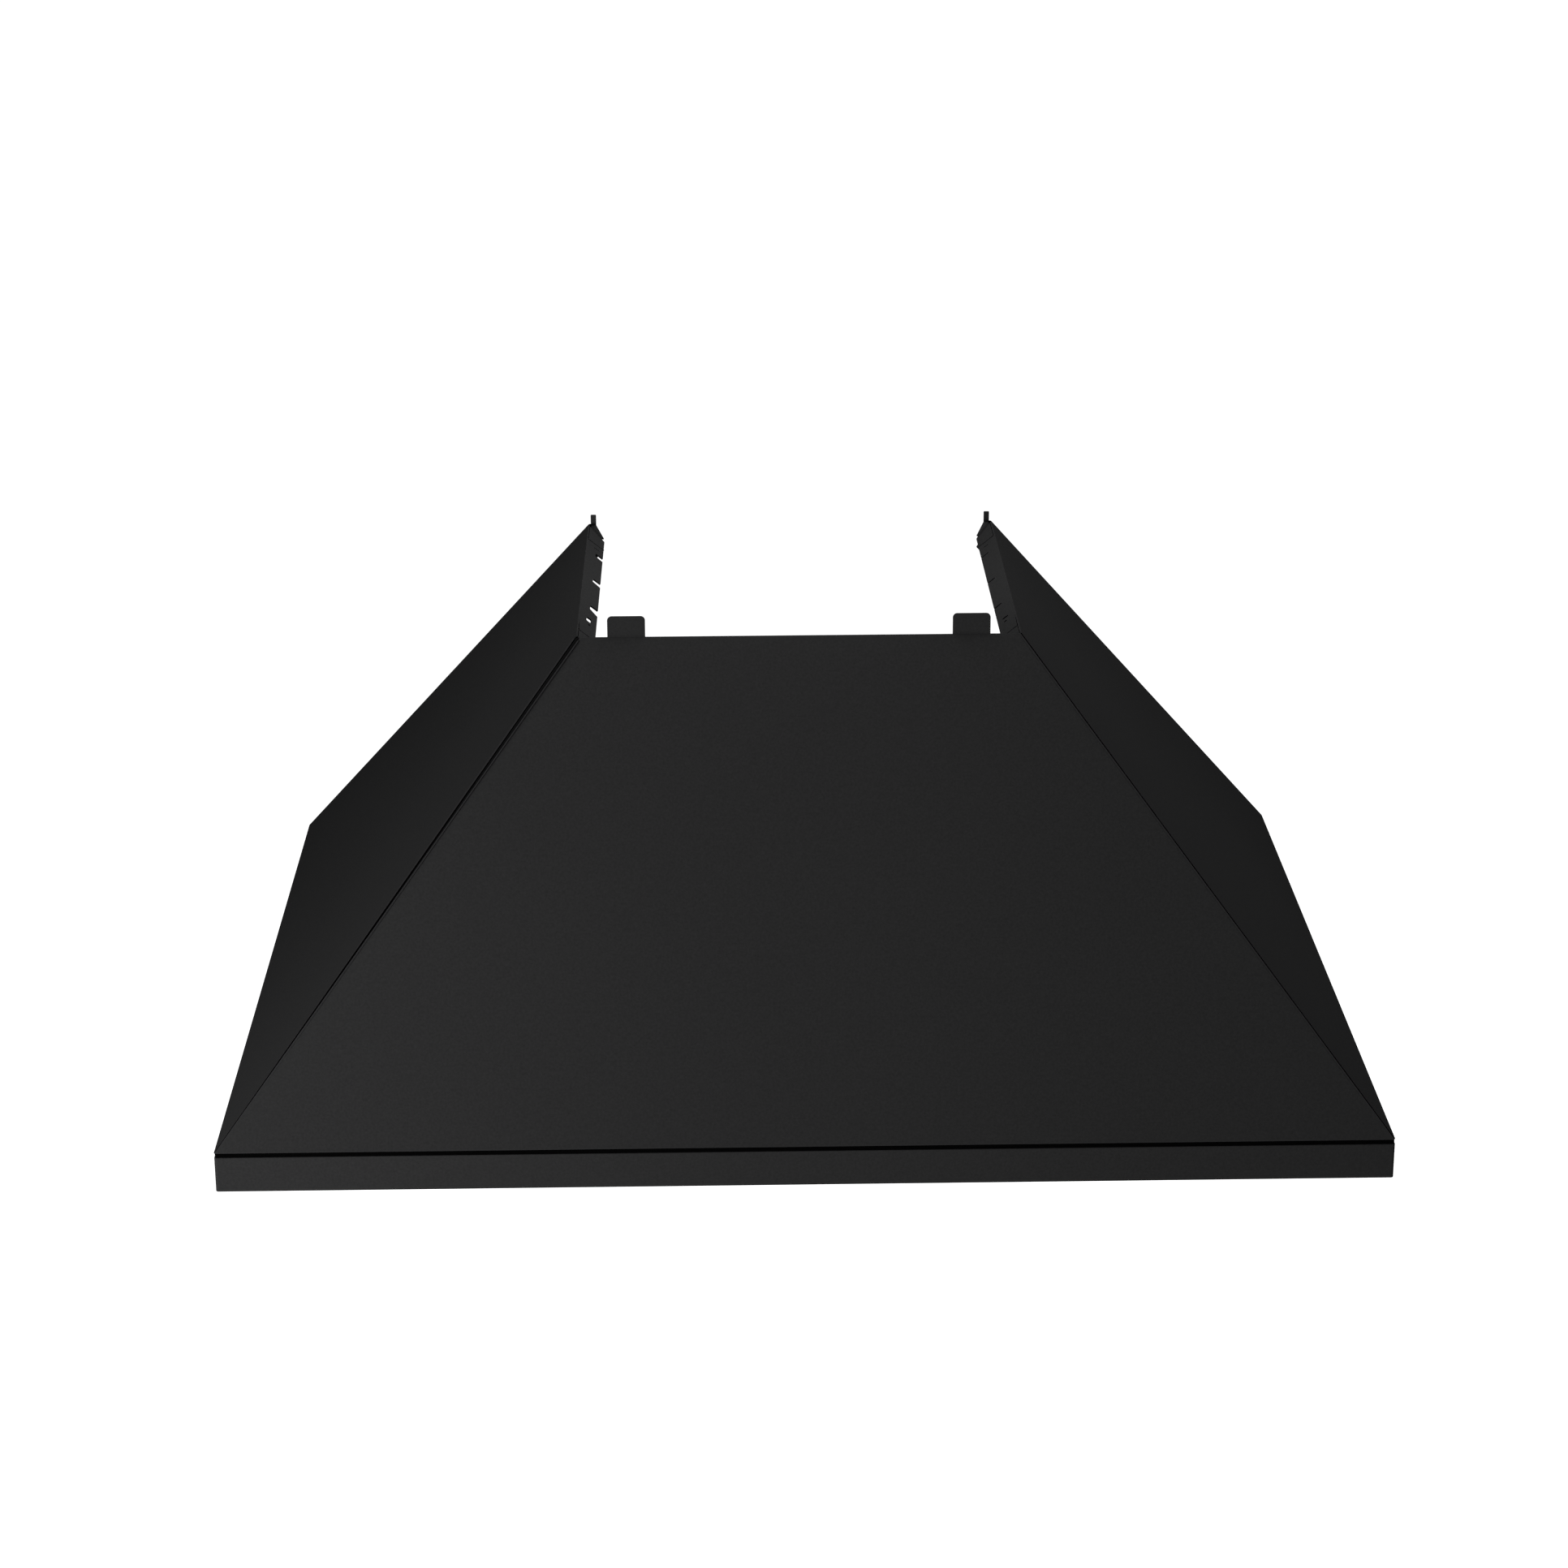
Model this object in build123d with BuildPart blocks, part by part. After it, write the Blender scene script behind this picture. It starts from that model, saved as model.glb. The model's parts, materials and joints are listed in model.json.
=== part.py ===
"""Island range hood: a folded sheet canopy on a rim band, with a liner, filters, lamps and a blower.

Millimetres.  +Z is up, -Y is the front, +X is the right-hand side seen from the front.
The origin is the centre of the rim's bottom edge.
"""
from build123d import *
import math
import os

os.makedirs("parts", exist_ok=True)

# ------------------------------------------------------------------ driving dimensions: canopy
hood_width = 762.0
hood_depth = 610.0
rim_height = 24.0
shadow_gap = 3.0            # dark line between the rim band and the canopy sheets
canopy_rise = 293.0
top_width = 294.0
top_depth = 277.0
sheet = 1.0                 # canopy sheet
top_flange = 15.0           # depth of the folded flange round the top opening
seam_flange = 22.0          # depth of the bolted flange along each hip
seam_flange_low_trim = 34.0 # length left off the lower end of a hip flange
seam_flange_high_trim = 1.2 # and off its upper end
foot_flange = 31.0          # depth of the flange on which each sheet stands
foot_flange_relief = 4.0    # space between neighbouring foot flanges at the corners
left_seam_low = 0.5         # the left front hip gapes towards the top
left_seam_high = 3.4
right_seam_low = 0.9
right_seam_high = 1.0
rear_seam = 0.6
tab_width = 25.0
tab_height = 14.0
tab_inset = 33.0            # from the top opening's side to the middle of a tab
tab_corner = 3.0
stile_width = 18.0
stile_shoulder = 18.0       # height over which the stile narrows to its corner at the top
tongue_width = 4.0
tongue_height = 7.0
tongue_inset = 1.5
tongue_round = 0.6
corner_return = 3.0         # width of the stile's own top flange at the corner
corner_cut = 2.0            # how far a top flange's mitre starts from the open tip of the corner

# places along the side flange, measured back from the front edge of the top opening
front_ear_tip = 3.5         # length of the front ear at its free edge
flange_relief_length = 30.0
flange_relief_gap = 0.6
ear_gap = 0.5
flange_hole_place = 45.5
flange_hole_r = 1.2
flange_hole_depth = 9.0     # from the fold to the small hole and the short slot
left_window = (56.0, 8.4, 4.0)      # place, length and depth of the rounded window
right_window = (53.0, 2.6, 5.0)
window_corner = 1.2
left_notches = ((90.0, 15.0, 8.5), (154.0, 9.5, 7.0))       # place, width at the mouth, at the root
right_notches = ((87.0, 3.0, 1.8), (148.0, 2.6, 1.8))
notch_depth = 6.5
notch_overrun = 1.0         # how far a notch's outline runs past the free edge
short_slot_length = 4.2
short_slot_width = 1.3
slit_width = 1.3
# places along the side flange, measured forward from the rear edge of the top opening
left_rear_notch = (59.5, 8.5, 7.0)
right_rear_notch = (65.0, 2.6, 1.8)
short_slot_inset = 48.0
rear_slit_inset = 38.5
flange_corner = 5.0         # chamfer on the flange's free front corner

# ------------------------------------------------------------------ driving dimensions: rim and liner
rim_sheet = 1.2
rim_edge_round = 0.8
rim_corner_round = 2.0
hem_height = 8.0
ledge_width = 16.0
rim_flange = 16.0
gasket_inset = 2.0
gasket_width = 11.0
liner_sheet = 0.8
liner_clearance = 0.4
skirt_foot = 1.0            # how far the liner's skirt stops above the rim's bottom edge

# ------------------------------------------------------------------ driving dimensions: filters
filter_width = 218.0
filter_depth = 306.0
filter_height = 14.0
filter_space = 20.0         # between the two filters
filter_place_y = 0.0
filter_sheet = 0.8
filter_lip = 10.0
filter_seat_gap = 0.3
filter_side_overlap = 6.0
filter_end_overlap = 12.0
filter_pin_r = 2.0
filter_pin_length = 7.0
filter_ear_r = 4.0
hook_sheet = 2.0
hook_gap = 0.6
hook_wall = 3.0
pin_clearance = 0.1
baffle_count = 9
baffle_width = 15.0
baffle_height = 5.0
baffle_sheet = 0.8
baffle_end_gap = 0.3

magnet_r = 4.0
magnet_flange_r = 7.0
magnet_flange = 1.5
magnet_spacing = 140.0
magnet_gap = 0.15

bail_wire_r = 1.6
bail_width = 76.0
bail_reach = 28.0
bail_bend_r = 5.0
bail_end_bend_r = 2.5
bail_setback = 6.0
lug_sheet = 1.5
lug_spacing = 68.0
lug_wall = 1.4
hinge_clearance = 0.06

# ------------------------------------------------------------------ driving dimensions: controls and lamps
control_inset = 83.0        # from the hood's front to the row of buttons and lamps
button_names = ("power", "light", "low_speed", "medium_speed", "high_speed")
button_pitch = 27.0
button_r = 8.0
button_clearance = 0.3
button_drop = 4.0
button_flange = 1.6
button_flange_height = 1.2
button_stem_r = 3.0
button_stem_length = 4.7
button_travel = 2.0
button_seat_gap = 0.3
button_edge_round = 1.0
fascia_width = 150.0
fascia_depth = 34.0
fascia_thickness = 1.5
fascia_corner = 8.0
fascia_edge = 0.5
switch_size = 7.0
switch_height = 5.1
switch_slack = 0.4          # left between a fully pressed button and its switch
board_thickness = 1.6
housing_wall = 1.5
housing_width = 160.0
housing_depth = 40.0
board_margin = 0.5
board_post_r = 3.0
board_post_height = 4.0
post_inset = 12.0
housing_corner = 4.0

lamp_inset = 131.0          # from the hood's side to the middle of a lamp
lamp_hole_r = 28.2
lamp_neck_r = 27.9
lamp_neck_wall = 1.3
lamp_neck_height = 1.2
lamp_bezel_r = 33.0
lamp_bezel_drop = 1.8
lamp_lip = 1.3
lamp_bezel_edge = 0.6
lamp_lens_thickness = 2.0
lamp_lens_gap = 0.1
lamp_can_wall = 1.5
lamp_can_height = 18.0
lamp_flange_r = 36.0
lamp_flange_thickness = 1.5
lamp_fin_height = 8.0
lamp_fin_thickness = 1.6
lamp_fin_count = 10
lamp_fin_root_r = 6.0
lamp_roof = 2.0

# ------------------------------------------------------------------ driving dimensions: blower
plenum_margin = 5.0         # from the filters' ends to the plenum's walls
plenum_top = 200.0
plenum_sheet = 1.0
plenum_foot = 12.0
plenum_corner = 4.0
wheel_drop = 78.0           # from the plenum's top to the wheel's axis
wheel_side_gap = 9.0
scroll_sheet = 1.0
cutoff_gap = 6.0            # between the wheel and the scroll where the spiral starts
scroll_growth = 36.0
scroll_start_angle = 60.0
scroll_arcs = 5
scroll_flange = 140.0
wheel_r = 60.0
blade_depth = 11.0
wheel_width = 94.0
wheel_blades = 32
blade_sheet = 1.0
blade_lean = 0.38           # how far a blade's tip lies round from its root, as a share of its depth
blade_belly = 0.1           # how far its middle bows the other way, as a share of that
wheel_ring = 2.5
wheel_disc = 1.2
hub_r = 8.0
hub_left = 12.0
hub_right = 8.0
shaft_r = 4.0
shaft_overhang = 1.0
motor_r = 35.0
motor_gap = 4.0
motor_length = 48.0
motor_boss_r = 12.0
motor_boss_length = 7.0
motor_edge_round = 4.0
bracket_sheet = 1.5
bracket_arm_width = 14.0
bracket_margin = 2.0        # from the inlet's flange to a grommet
grommet_r = 4.5
shaft_clearance = 0.06
inlet_running_gap = 1.0
inlet_roll = 3.1
inlet_flange = 6.0
inlet_sheet = 0.8
inlet_lap = 0.5             # how far the throat reaches into the wheel's eye
inlet_fit = 0.2
blade_inset = 0.5           # from a blade's root and tip to the edges of the rings
shaft_chamfer = 0.5
bracket_fit = 0.5

# ------------------------------------------------------------------ driving dimensions: outlet and fittings
collar_r = 75.0
collar_wall = 0.8
collar_height = 44.0
collar_flange_r = 92.0
collar_flange_sheet = 1.0
outlet_hole_r = 72.0
collar_screw_pitch_r = 85.0
rod_r = 2.5
rod_clearance = 0.02
rod_setback = 0.1           # how far the rod's ends stop inside the collar's outer face
rod_height = 20.0
flap_sheet = 0.8
flap_rim_gap = 2.4
flap_edge = 5.0
flap_stop_width = 3.7
flap_stop_sheet = 1.2
flap_stop_gap = 0.3
knuckle_wall = 1.1
knuckle_length = 12.0
left_knuckle_spacing = 110.0
right_knuckle_spacing = 70.0

rail_inset = 41.0           # from the plenum's side to the middle of a rail
rail_leg = 30.0
rail_upstand = 22.0
rail_sheet = 2.0
rail_end_gap = 8.0
hanger_inset = 30.0         # from a rail's end to its hanger hole
hanger_hole_r = 4.5

box_width = 60.0
box_depth = 60.0
box_height = 36.0
box_wall = 1.2
box_rail_gap = 12.0
box_front_inset = 38.0      # from the plenum's front to the middle of the box
lid_thickness = 1.2
lid_overlap = 1.5
lid_skirt = 6.0
gland_r = 9.0
gland_thread_r = 7.0
gland_cap_inset = 1.5
gland_bore_r = 4.5
gland_length = 20.0
gland_nut_length = 6.0
terminal_width = 34.0
terminal_depth = 14.0
terminal_height = 12.0
terminal_poles = 4
terminal_hole_r = 2.0
capacitor_r = 15.0
capacitor_length = 60.0
capacitor_edge_round = 1.5
clip_sheet = 1.0
clip_width = 14.0
clip_foot = 12.0
clip_fit = 0.1

# ------------------------------------------------------------------ fasteners
screw_r = 2.0
screw_head_r = 3.6
screw_head_height = 2.0
hole_clearance = 0.15
seam_bolt_length = 9.0
nut_height = 2.4
nut_across = 7.0
seam_bolts_per_hip = 2
front_foot_screws = 4
side_foot_screws = 3
liner_front_screws = 4
liner_side_screws = 2
plenum_side_screws = 2
plenum_end_screws = 2
seat_gap = 0.05             # air left under a bolt head or nut on a gaping seam
nut_clearance = 0.05

# ------------------------------------------------------------------ worked-out canopy values
canopy_base = rim_height + shadow_gap
canopy_top = canopy_base + canopy_rise
front_run = (hood_depth - top_depth) / 2
side_run = (hood_width - top_width) / 2
front_slope = math.atan2(canopy_rise, front_run)
side_slope = math.atan2(canopy_rise, side_run)
front_length = math.hypot(canopy_rise, front_run)
side_length = math.hypot(canopy_rise, side_run)
blank_margin = 20.0         # stock left on a sheet before it is trimmed to its hips and base
mitre_y_per_side = math.cos(side_slope) * math.tan(front_slope)
mitre_x_per_front = math.cos(front_slope) * math.tan(side_slope)
mitre_lap = 0.5 * sheet     # how far the two halves of a mitred corner run into each other
front_slit = mitre_y_per_side * top_flange - mitre_lap + front_ear_tip
short_slot_place = top_depth - short_slot_inset
rear_slit = top_depth - rear_slit_inset
screw_hole_r = screw_r + hole_clearance
ceiling_top = rim_height - rim_sheet
ceiling_under = ceiling_top - liner_sheet
foot_screw_inset = ledge_width + rim_flange / 2
plenum_floor = ceiling_top
LEFT, RIGHT = -1, 1
FRONT, REAR = -1, 1

# ------------------------------------------------------------------ worked-out blower values
filter_spacing = filter_width + filter_space
control_place_y = -(hood_depth / 2 - control_inset)
plenum_width = filter_spacing + filter_width
plenum_depth = filter_depth + 2 * plenum_margin
wheel_eye_r = wheel_r - blade_depth
scroll_width = wheel_width + 2 * wheel_side_gap
scroll_start_r = wheel_r + cutoff_gap
scroll_end_r = scroll_start_r + scroll_growth
outlet_depth = scroll_end_r - scroll_start_r * math.cos(math.radians(scroll_start_angle))
outlet_y = 0.0
scroll_axis_y = outlet_y + outlet_depth / 2 - scroll_end_r
scroll_axis_z = plenum_top - wheel_drop
inlet_throat_r = wheel_eye_r - inlet_running_gap - inlet_sheet
inlet_hole_r = inlet_throat_r + inlet_roll + inlet_fit
inlet_flange_r = inlet_hole_r + inlet_flange
bracket_pitch_r = inlet_flange_r + bracket_margin + grommet_r
rail_place_x = plenum_width / 2 - rail_inset
rail_length = plenum_depth - 2 * rail_end_gap
hanger_place_y = rail_length / 2 - hanger_inset
rail_screw_y = hanger_place_y / 2
box_place_x = rail_place_x - (rail_leg + box_width) / 2 - box_rail_gap
box_place_y = -(plenum_depth / 2 - box_front_inset)


def face_normal(end):
    """Outward normal of the front or rear face of the canopy."""
    return Vector(0, end * math.sin(front_slope), math.cos(front_slope))


def side_normal(side):
    """Outward normal of the left or right face of the canopy."""
    return Vector(side * math.sin(side_slope), 0, math.cos(side_slope))


def face_plane(end):
    """Outer face of the front or rear sheet: x across, y up the slope from the canopy's base."""
    base = (0, end * hood_depth / 2, canopy_base)
    return Plane(origin=base, x_dir=(-end, 0, 0), z_dir=face_normal(end))


def side_plane(side):
    """Outer face of a side sheet: x along the hood's depth, y up the slope from the canopy's base."""
    return Plane(origin=(side * hood_width / 2, 0, canopy_base), x_dir=(0, side, 0), z_dir=side_normal(side))


def front_flange_plane(end):
    """Upper face of the front or rear top flange: x across, y inward and down from the fold."""
    up_slope = (0, -end * math.cos(front_slope), math.sin(front_slope))
    return Plane(origin=(0, end * top_depth / 2, canopy_top), x_dir=(-end, 0, 0), z_dir=up_slope)


def side_flange_plane(side):
    """Upper face of a side sheet's top flange, with y pointing outward."""
    up_slope = (-side * math.cos(side_slope), 0, math.sin(side_slope))
    return Plane(origin=(side * top_width / 2, 0, canopy_top), x_dir=(0, -side, 0), z_dir=up_slope)


def on_side_flange(side, points):
    """Points given as (distance back from the top opening's front edge, depth from the fold)."""
    return [(-side * (back - top_depth / 2), -depth) for back, depth in points]


def seam_plane(side, end, low_gap, high_gap, towards_side):
    """The face of one hip flange: a plane through the hip, half the seam's gap away from it.

    Its x runs along the hip, its y goes inward, and its normal points into the sheet that it trims.
    """
    low = Vector(side * hood_width / 2, end * hood_depth / 2, canopy_base)
    high = Vector(side * top_width / 2, end * top_depth / 2, canopy_top)
    inward = (face_normal(end) + side_normal(side)).normalized() * -1
    across = (face_normal(end) - side_normal(side)).normalized()
    if towards_side:
        across = across * -1
    low = low + across * (low_gap / 2)
    high = high + across * (high_gap / 2)
    along = (high - low).normalized()
    normal = along.cross(inward)
    if normal.dot(across) < 0:
        normal = normal * -1
    return Plane(origin=(low + high) * 0.5, x_dir=inward.cross(normal), z_dir=normal)


def seam_gaps(side, end):
    """Low and high gap of a hip seam."""
    if end == REAR:
        return rear_seam, rear_seam
    if side == LEFT:
        return left_seam_low, left_seam_high
    return right_seam_low, right_seam_high


hip_length = math.hypot(canopy_rise, front_run, side_run)
seam_flange_length = hip_length - seam_flange_low_trim - seam_flange_high_trim
seam_bolt_pitch = seam_flange_length / seam_bolts_per_hip
seam_flange_start = sheet


def spread(count, length):
    """Evenly spaced places along a length, centred on zero, with a full half-pitch at each end."""
    pitch = length / count
    return [(index - (count - 1) / 2) * pitch for index in range(count)]


front_foot_width = hood_width - 2 * (foot_flange + foot_flange_relief)
side_foot_width = hood_depth - 2 * (foot_flange + foot_flange_relief)
front_foot_places = [(x, FRONT * (hood_depth / 2 - foot_screw_inset)) for x in
                     spread(front_foot_screws, front_foot_width)]
side_foot_places = [(hood_width / 2 - foot_screw_inset, y) for y in
                    spread(side_foot_screws, side_foot_width)]
stile_foot_inset = (foot_flange + stile_width) / 2 + screw_head_r
stile_foot_length = 2 * (stile_foot_inset - stile_width / 2)
stile_foot_place = (hood_width / 2 - stile_foot_inset, REAR * (hood_depth / 2 - foot_screw_inset))


# ------------------------------------------------------------------ canopy sheets
def save(builder, name):
    """Label a finished sub-part and write it."""
    builder.part.label = name
    export_step(builder.part, f"parts/{name}.step")


def seam_flange_middle(plane):
    """The middle of a hip flange, measured along the hip on its plane."""
    uphill = math.copysign(1, plane.x_dir.Z)
    return uphill * (seam_flange_low_trim - seam_flange_high_trim) / 2


def add_seam_flange(side, end, towards_side):
    """Fold a bolted flange along a hip, inside the canopy (called in the sheet's own builder)."""
    low_gap, high_gap = seam_gaps(side, end)
    flange_face = seam_plane(side, end, low_gap, high_gap, towards_side)
    middle = seam_flange_middle(flange_face)
    with BuildSketch(flange_face) as profile:
        with Locations((middle, seam_flange_start + seam_flange / 2)):
            Rectangle(seam_flange_length, seam_flange)
        with Locations([(middle + x, seam_flange_start + seam_flange / 2) for x in
                        spread(seam_bolts_per_hip, seam_flange_length)]):
            Circle(screw_hole_r, mode=Mode.SUBTRACT)
    extrude(profile.sketch, amount=sheet)


def trim_at_seam(side, end, towards_side):
    """Mitre the sheet in the current builder along a hip."""
    low_gap, high_gap = seam_gaps(side, end)
    split(bisect_by=seam_plane(side, end, low_gap, high_gap, towards_side), keep=Keep.TOP)


def corner_ear(side, slit, end):
    """The piece of top flange between a slit and the mitred corner at one end of a side flange."""
    corner = 0 if end == FRONT else top_depth
    inward = 1 if end == FRONT else -1
    fold = sheet + ear_gap
    mitre_start = mitre_y_per_side * (fold + corner_cut) - mitre_lap
    mitre_end = mitre_y_per_side * top_flange - mitre_lap
    outline = [
        (corner + inward * mitre_start, fold),
        (slit, fold),
        (slit, top_flange),
        (corner + inward * mitre_end, top_flange),
        (corner + inward * mitre_start, fold + corner_cut),
    ]
    with BuildSketch(side_flange_plane(side)) as profile:
        with BuildLine():
            Polyline(*on_side_flange(side, outline), close=True)
        make_face()
    extrude(profile.sketch, amount=-sheet)


with BuildPart() as front_panel:
    with BuildSketch(face_plane(FRONT)):
        with Locations((0, (front_length - blank_margin) / 2)):
            Rectangle(hood_width + blank_margin, front_length + blank_margin)
    extrude(amount=-sheet)
    split(bisect_by=Plane.XY.offset(canopy_base), keep=Keep.TOP)
    for side in (LEFT, RIGHT):
        trim_at_seam(side, FRONT, towards_side=False)
    flange_end = corner_cut / mitre_x_per_front
    with BuildSketch(front_flange_plane(FRONT)):
        with BuildLine():
            half = top_width / 2
            Polyline(
                (-half + corner_cut, 0),
                (half - corner_cut, 0),
                (half - corner_cut, flange_end),
                (half - mitre_x_per_front * top_flange, top_flange),
                (-half + mitre_x_per_front * top_flange, top_flange),
                (-half + corner_cut, flange_end),
                close=True,
            )
        make_face()
    extrude(amount=-sheet)
    with BuildSketch(Plane.XZ.offset(top_depth / 2)):
        with Locations([(side * (top_width / 2 - tab_inset), canopy_top + (tab_height - sheet) / 2)
                        for side in (LEFT, RIGHT)]):
            Rectangle(tab_width, tab_height + sheet)
    extrude(amount=-sheet)
    tab_tops = front_panel.edges().filter_by(Axis.Y).group_by(Axis.Z)[-1]
    fillet(tab_tops, tab_corner)
    with BuildSketch(Plane.XY.offset(canopy_base)):
        with Locations((0, -(hood_depth / 2 - (foot_flange + sheet) / 2))):
            Rectangle(front_foot_width, foot_flange - sheet)
        with Locations(front_foot_places):
            Circle(screw_hole_r, mode=Mode.SUBTRACT)
    extrude(amount=sheet)
    for side in (LEFT, RIGHT):
        add_seam_flange(side, FRONT, towards_side=False)
        corner_ear(side, front_slit, FRONT)
save(front_panel, "front_panel")


def side_flange_outline():
    """The side's top flange, as (distance back, depth) points, with its relief slit at the front."""
    flange_front = front_slit + slit_width
    relief_end = flange_front + flange_relief_length
    return [
        (rear_slit, 0),
        (relief_end, 0),
        (relief_end, sheet),
        (flange_front, sheet + flange_relief_gap),
        (flange_front, top_flange - flange_corner),
        (flange_front + flange_corner, top_flange),
        (rear_slit, top_flange),
    ]


def build_side_panel(side, front_notches, rear_notch, window):
    """One side sheet with its slotted top flange, hip flanges and foot."""
    from_rear, rear_mouth, rear_root = rear_notch
    window_place, window_length, window_depth = window
    with BuildPart() as panel:
        with BuildSketch(side_plane(side)):
            with Locations((0, (side_length - blank_margin) / 2)):
                Rectangle(hood_depth + blank_margin, side_length + blank_margin)
        extrude(amount=-sheet)
        split(bisect_by=Plane.XY.offset(canopy_base), keep=Keep.TOP)
        for end in (FRONT, REAR):
            trim_at_seam(side, end, towards_side=True)
        with BuildSketch(side_flange_plane(side)):
            with BuildLine():
                Polyline(*on_side_flange(side, side_flange_outline()), close=True)
            make_face()
            for place, mouth, root in (*front_notches, (top_depth - from_rear, rear_mouth, rear_root)):
                with BuildLine():
                    notch = [
                        (place, top_flange - notch_depth),
                        (place, top_flange + notch_overrun),
                        (place - mouth, top_flange + notch_overrun),
                        (place - root, top_flange - notch_depth),
                    ]
                    Polyline(*on_side_flange(side, notch), close=True)
                make_face(mode=Mode.SUBTRACT)
            with Locations(on_side_flange(side, [(window_place, top_flange / 2 + sheet)])):
                RectangleRounded(window_length, window_depth, window_corner, mode=Mode.SUBTRACT)
            with Locations(on_side_flange(side, [(short_slot_place, flange_hole_depth)])):
                SlotOverall(short_slot_length, short_slot_width, rotation=90, mode=Mode.SUBTRACT)
            with Locations(on_side_flange(side, [(flange_hole_place, flange_hole_depth)])):
                Circle(flange_hole_r, mode=Mode.SUBTRACT)
        extrude(amount=-sheet)
        with BuildSketch(Plane.XY.offset(canopy_base)):
            with Locations((side * (hood_width / 2 - (foot_flange + sheet) / 2), 0)):
                Rectangle(foot_flange - sheet, side_foot_width)
            with Locations([(side * x, y) for x, y in side_foot_places]):
                Circle(screw_hole_r, mode=Mode.SUBTRACT)
        extrude(amount=sheet)
        for end in (FRONT, REAR):
            add_seam_flange(side, end, towards_side=True)
    return panel


left_side_panel = build_side_panel(LEFT, left_notches, left_rear_notch, left_window)
save(left_side_panel, "left_side_panel")

right_side_panel = build_side_panel(RIGHT, right_notches, right_rear_notch, right_window)
save(right_side_panel, "right_side_panel")


def build_rear_stile(side):
    """A folded strip down a rear hip: it stiffens the open back and carries the corner's top flange."""
    hip_lean = math.atan2(side_run, front_length)
    with BuildPart() as stile:
        with BuildSketch(face_plane(REAR)):
            with BuildLine():
                low_x = -side * (hood_width / 2 + blank_margin * side_run / front_length)
                high_x = -side * top_width / 2
                across = side * stile_width / math.cos(hip_lean)
                shoulder_x = high_x + across - side * stile_shoulder * side_run / front_length
                Polyline(
                    (low_x, -blank_margin),
                    (high_x, front_length),
                    (high_x + side * (corner_cut + corner_return), front_length),
                    (shoulder_x, front_length - stile_shoulder),
                    (low_x + across, -blank_margin),
                    close=True,
                )
            make_face()
        extrude(amount=-sheet)
        split(bisect_by=Plane.XY.offset(canopy_base), keep=Keep.TOP)
        trim_at_seam(side, REAR, towards_side=False)
        with BuildSketch(front_flange_plane(REAR)):
            with BuildLine():
                half = top_width / 2
                corner = [
                    (half - corner_cut, 0),
                    (half - corner_cut - corner_return, 0),
                    (half - mitre_x_per_front * top_flange - corner_cut, top_flange),
                    (half - mitre_x_per_front * top_flange, top_flange),
                    (half - corner_cut, corner_cut / mitre_x_per_front),
                ]
                Polyline(*[(-side * x, y) for x, y in corner], close=True)
            make_face()
        extrude(amount=-sheet)
        with BuildSketch(Plane.XZ.offset(-top_depth / 2)):
            tongue_x = side * (top_width / 2 - tongue_inset - tongue_width / 2)
            with Locations((tongue_x, canopy_top + (tongue_height - sheet) / 2)):
                Rectangle(tongue_width, tongue_height + sheet)
        extrude(amount=sheet)
        tongue_top = stile.edges().filter_by(Axis.Y).group_by(Axis.Z)[-1]
        fillet(tongue_top, tongue_round)
        with BuildSketch(Plane.XY.offset(canopy_base)):
            foot_x = side * stile_foot_place[0]
            with Locations((foot_x, hood_depth / 2 - (foot_flange + sheet) / 2)):
                Rectangle(stile_foot_length, foot_flange - sheet)
            with Locations((foot_x, stile_foot_place[1])):
                Circle(screw_hole_r, mode=Mode.SUBTRACT)
        extrude(amount=sheet)
        add_seam_flange(side, REAR, towards_side=False)
        corner_ear(side, rear_slit + slit_width, REAR)
    return stile


left_rear_stile = build_rear_stile(LEFT)
save(left_rear_stile, "left_rear_stile")

right_rear_stile = build_rear_stile(RIGHT)
save(right_rear_stile, "right_rear_stile")


# ------------------------------------------------------------------ rim band
def ring_sketch(outer_inset, inner_inset, plane, corner=0.0):
    """A rectangular ring between two insets from the hood's outline."""
    with BuildSketch(plane) as profile:
        Rectangle(hood_width - 2 * outer_inset, hood_depth - 2 * outer_inset)
        if corner > 0:
            fillet(profile.vertices(), corner)
        Rectangle(hood_width - 2 * inner_inset, hood_depth - 2 * inner_inset, mode=Mode.SUBTRACT)
    return profile.sketch


upstand_inset = ledge_width - rim_sheet
liner_screw_inset = ledge_width / 2 + rim_sheet
liner_screw_places = [(x, end * (hood_depth / 2 - liner_screw_inset)) for end in (FRONT, REAR)
                      for x in spread(liner_front_screws, hood_width)]
liner_screw_places += [(side * (hood_width / 2 - liner_screw_inset), y) for side in (LEFT, RIGHT)
                       for y in spread(liner_side_screws, hood_depth)]
foot_screw_places = list(front_foot_places)
foot_screw_places += [(side * x, y) for side in (LEFT, RIGHT) for x, y in side_foot_places]
foot_screw_places += [(side * stile_foot_place[0], stile_foot_place[1]) for side in (LEFT, RIGHT)]

with BuildPart() as rim_frame:
    extrude(ring_sketch(0, rim_sheet, Plane.XY, rim_corner_round), amount=rim_height)
    outer_top = rim_frame.faces().sort_by(Axis.Z)[-1].outer_wire().edges()
    fillet(outer_top, rim_edge_round)
    extrude(ring_sketch(rim_sheet, 2 * rim_sheet, Plane.XY), amount=hem_height)
save(rim_frame, "rim_frame")

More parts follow.
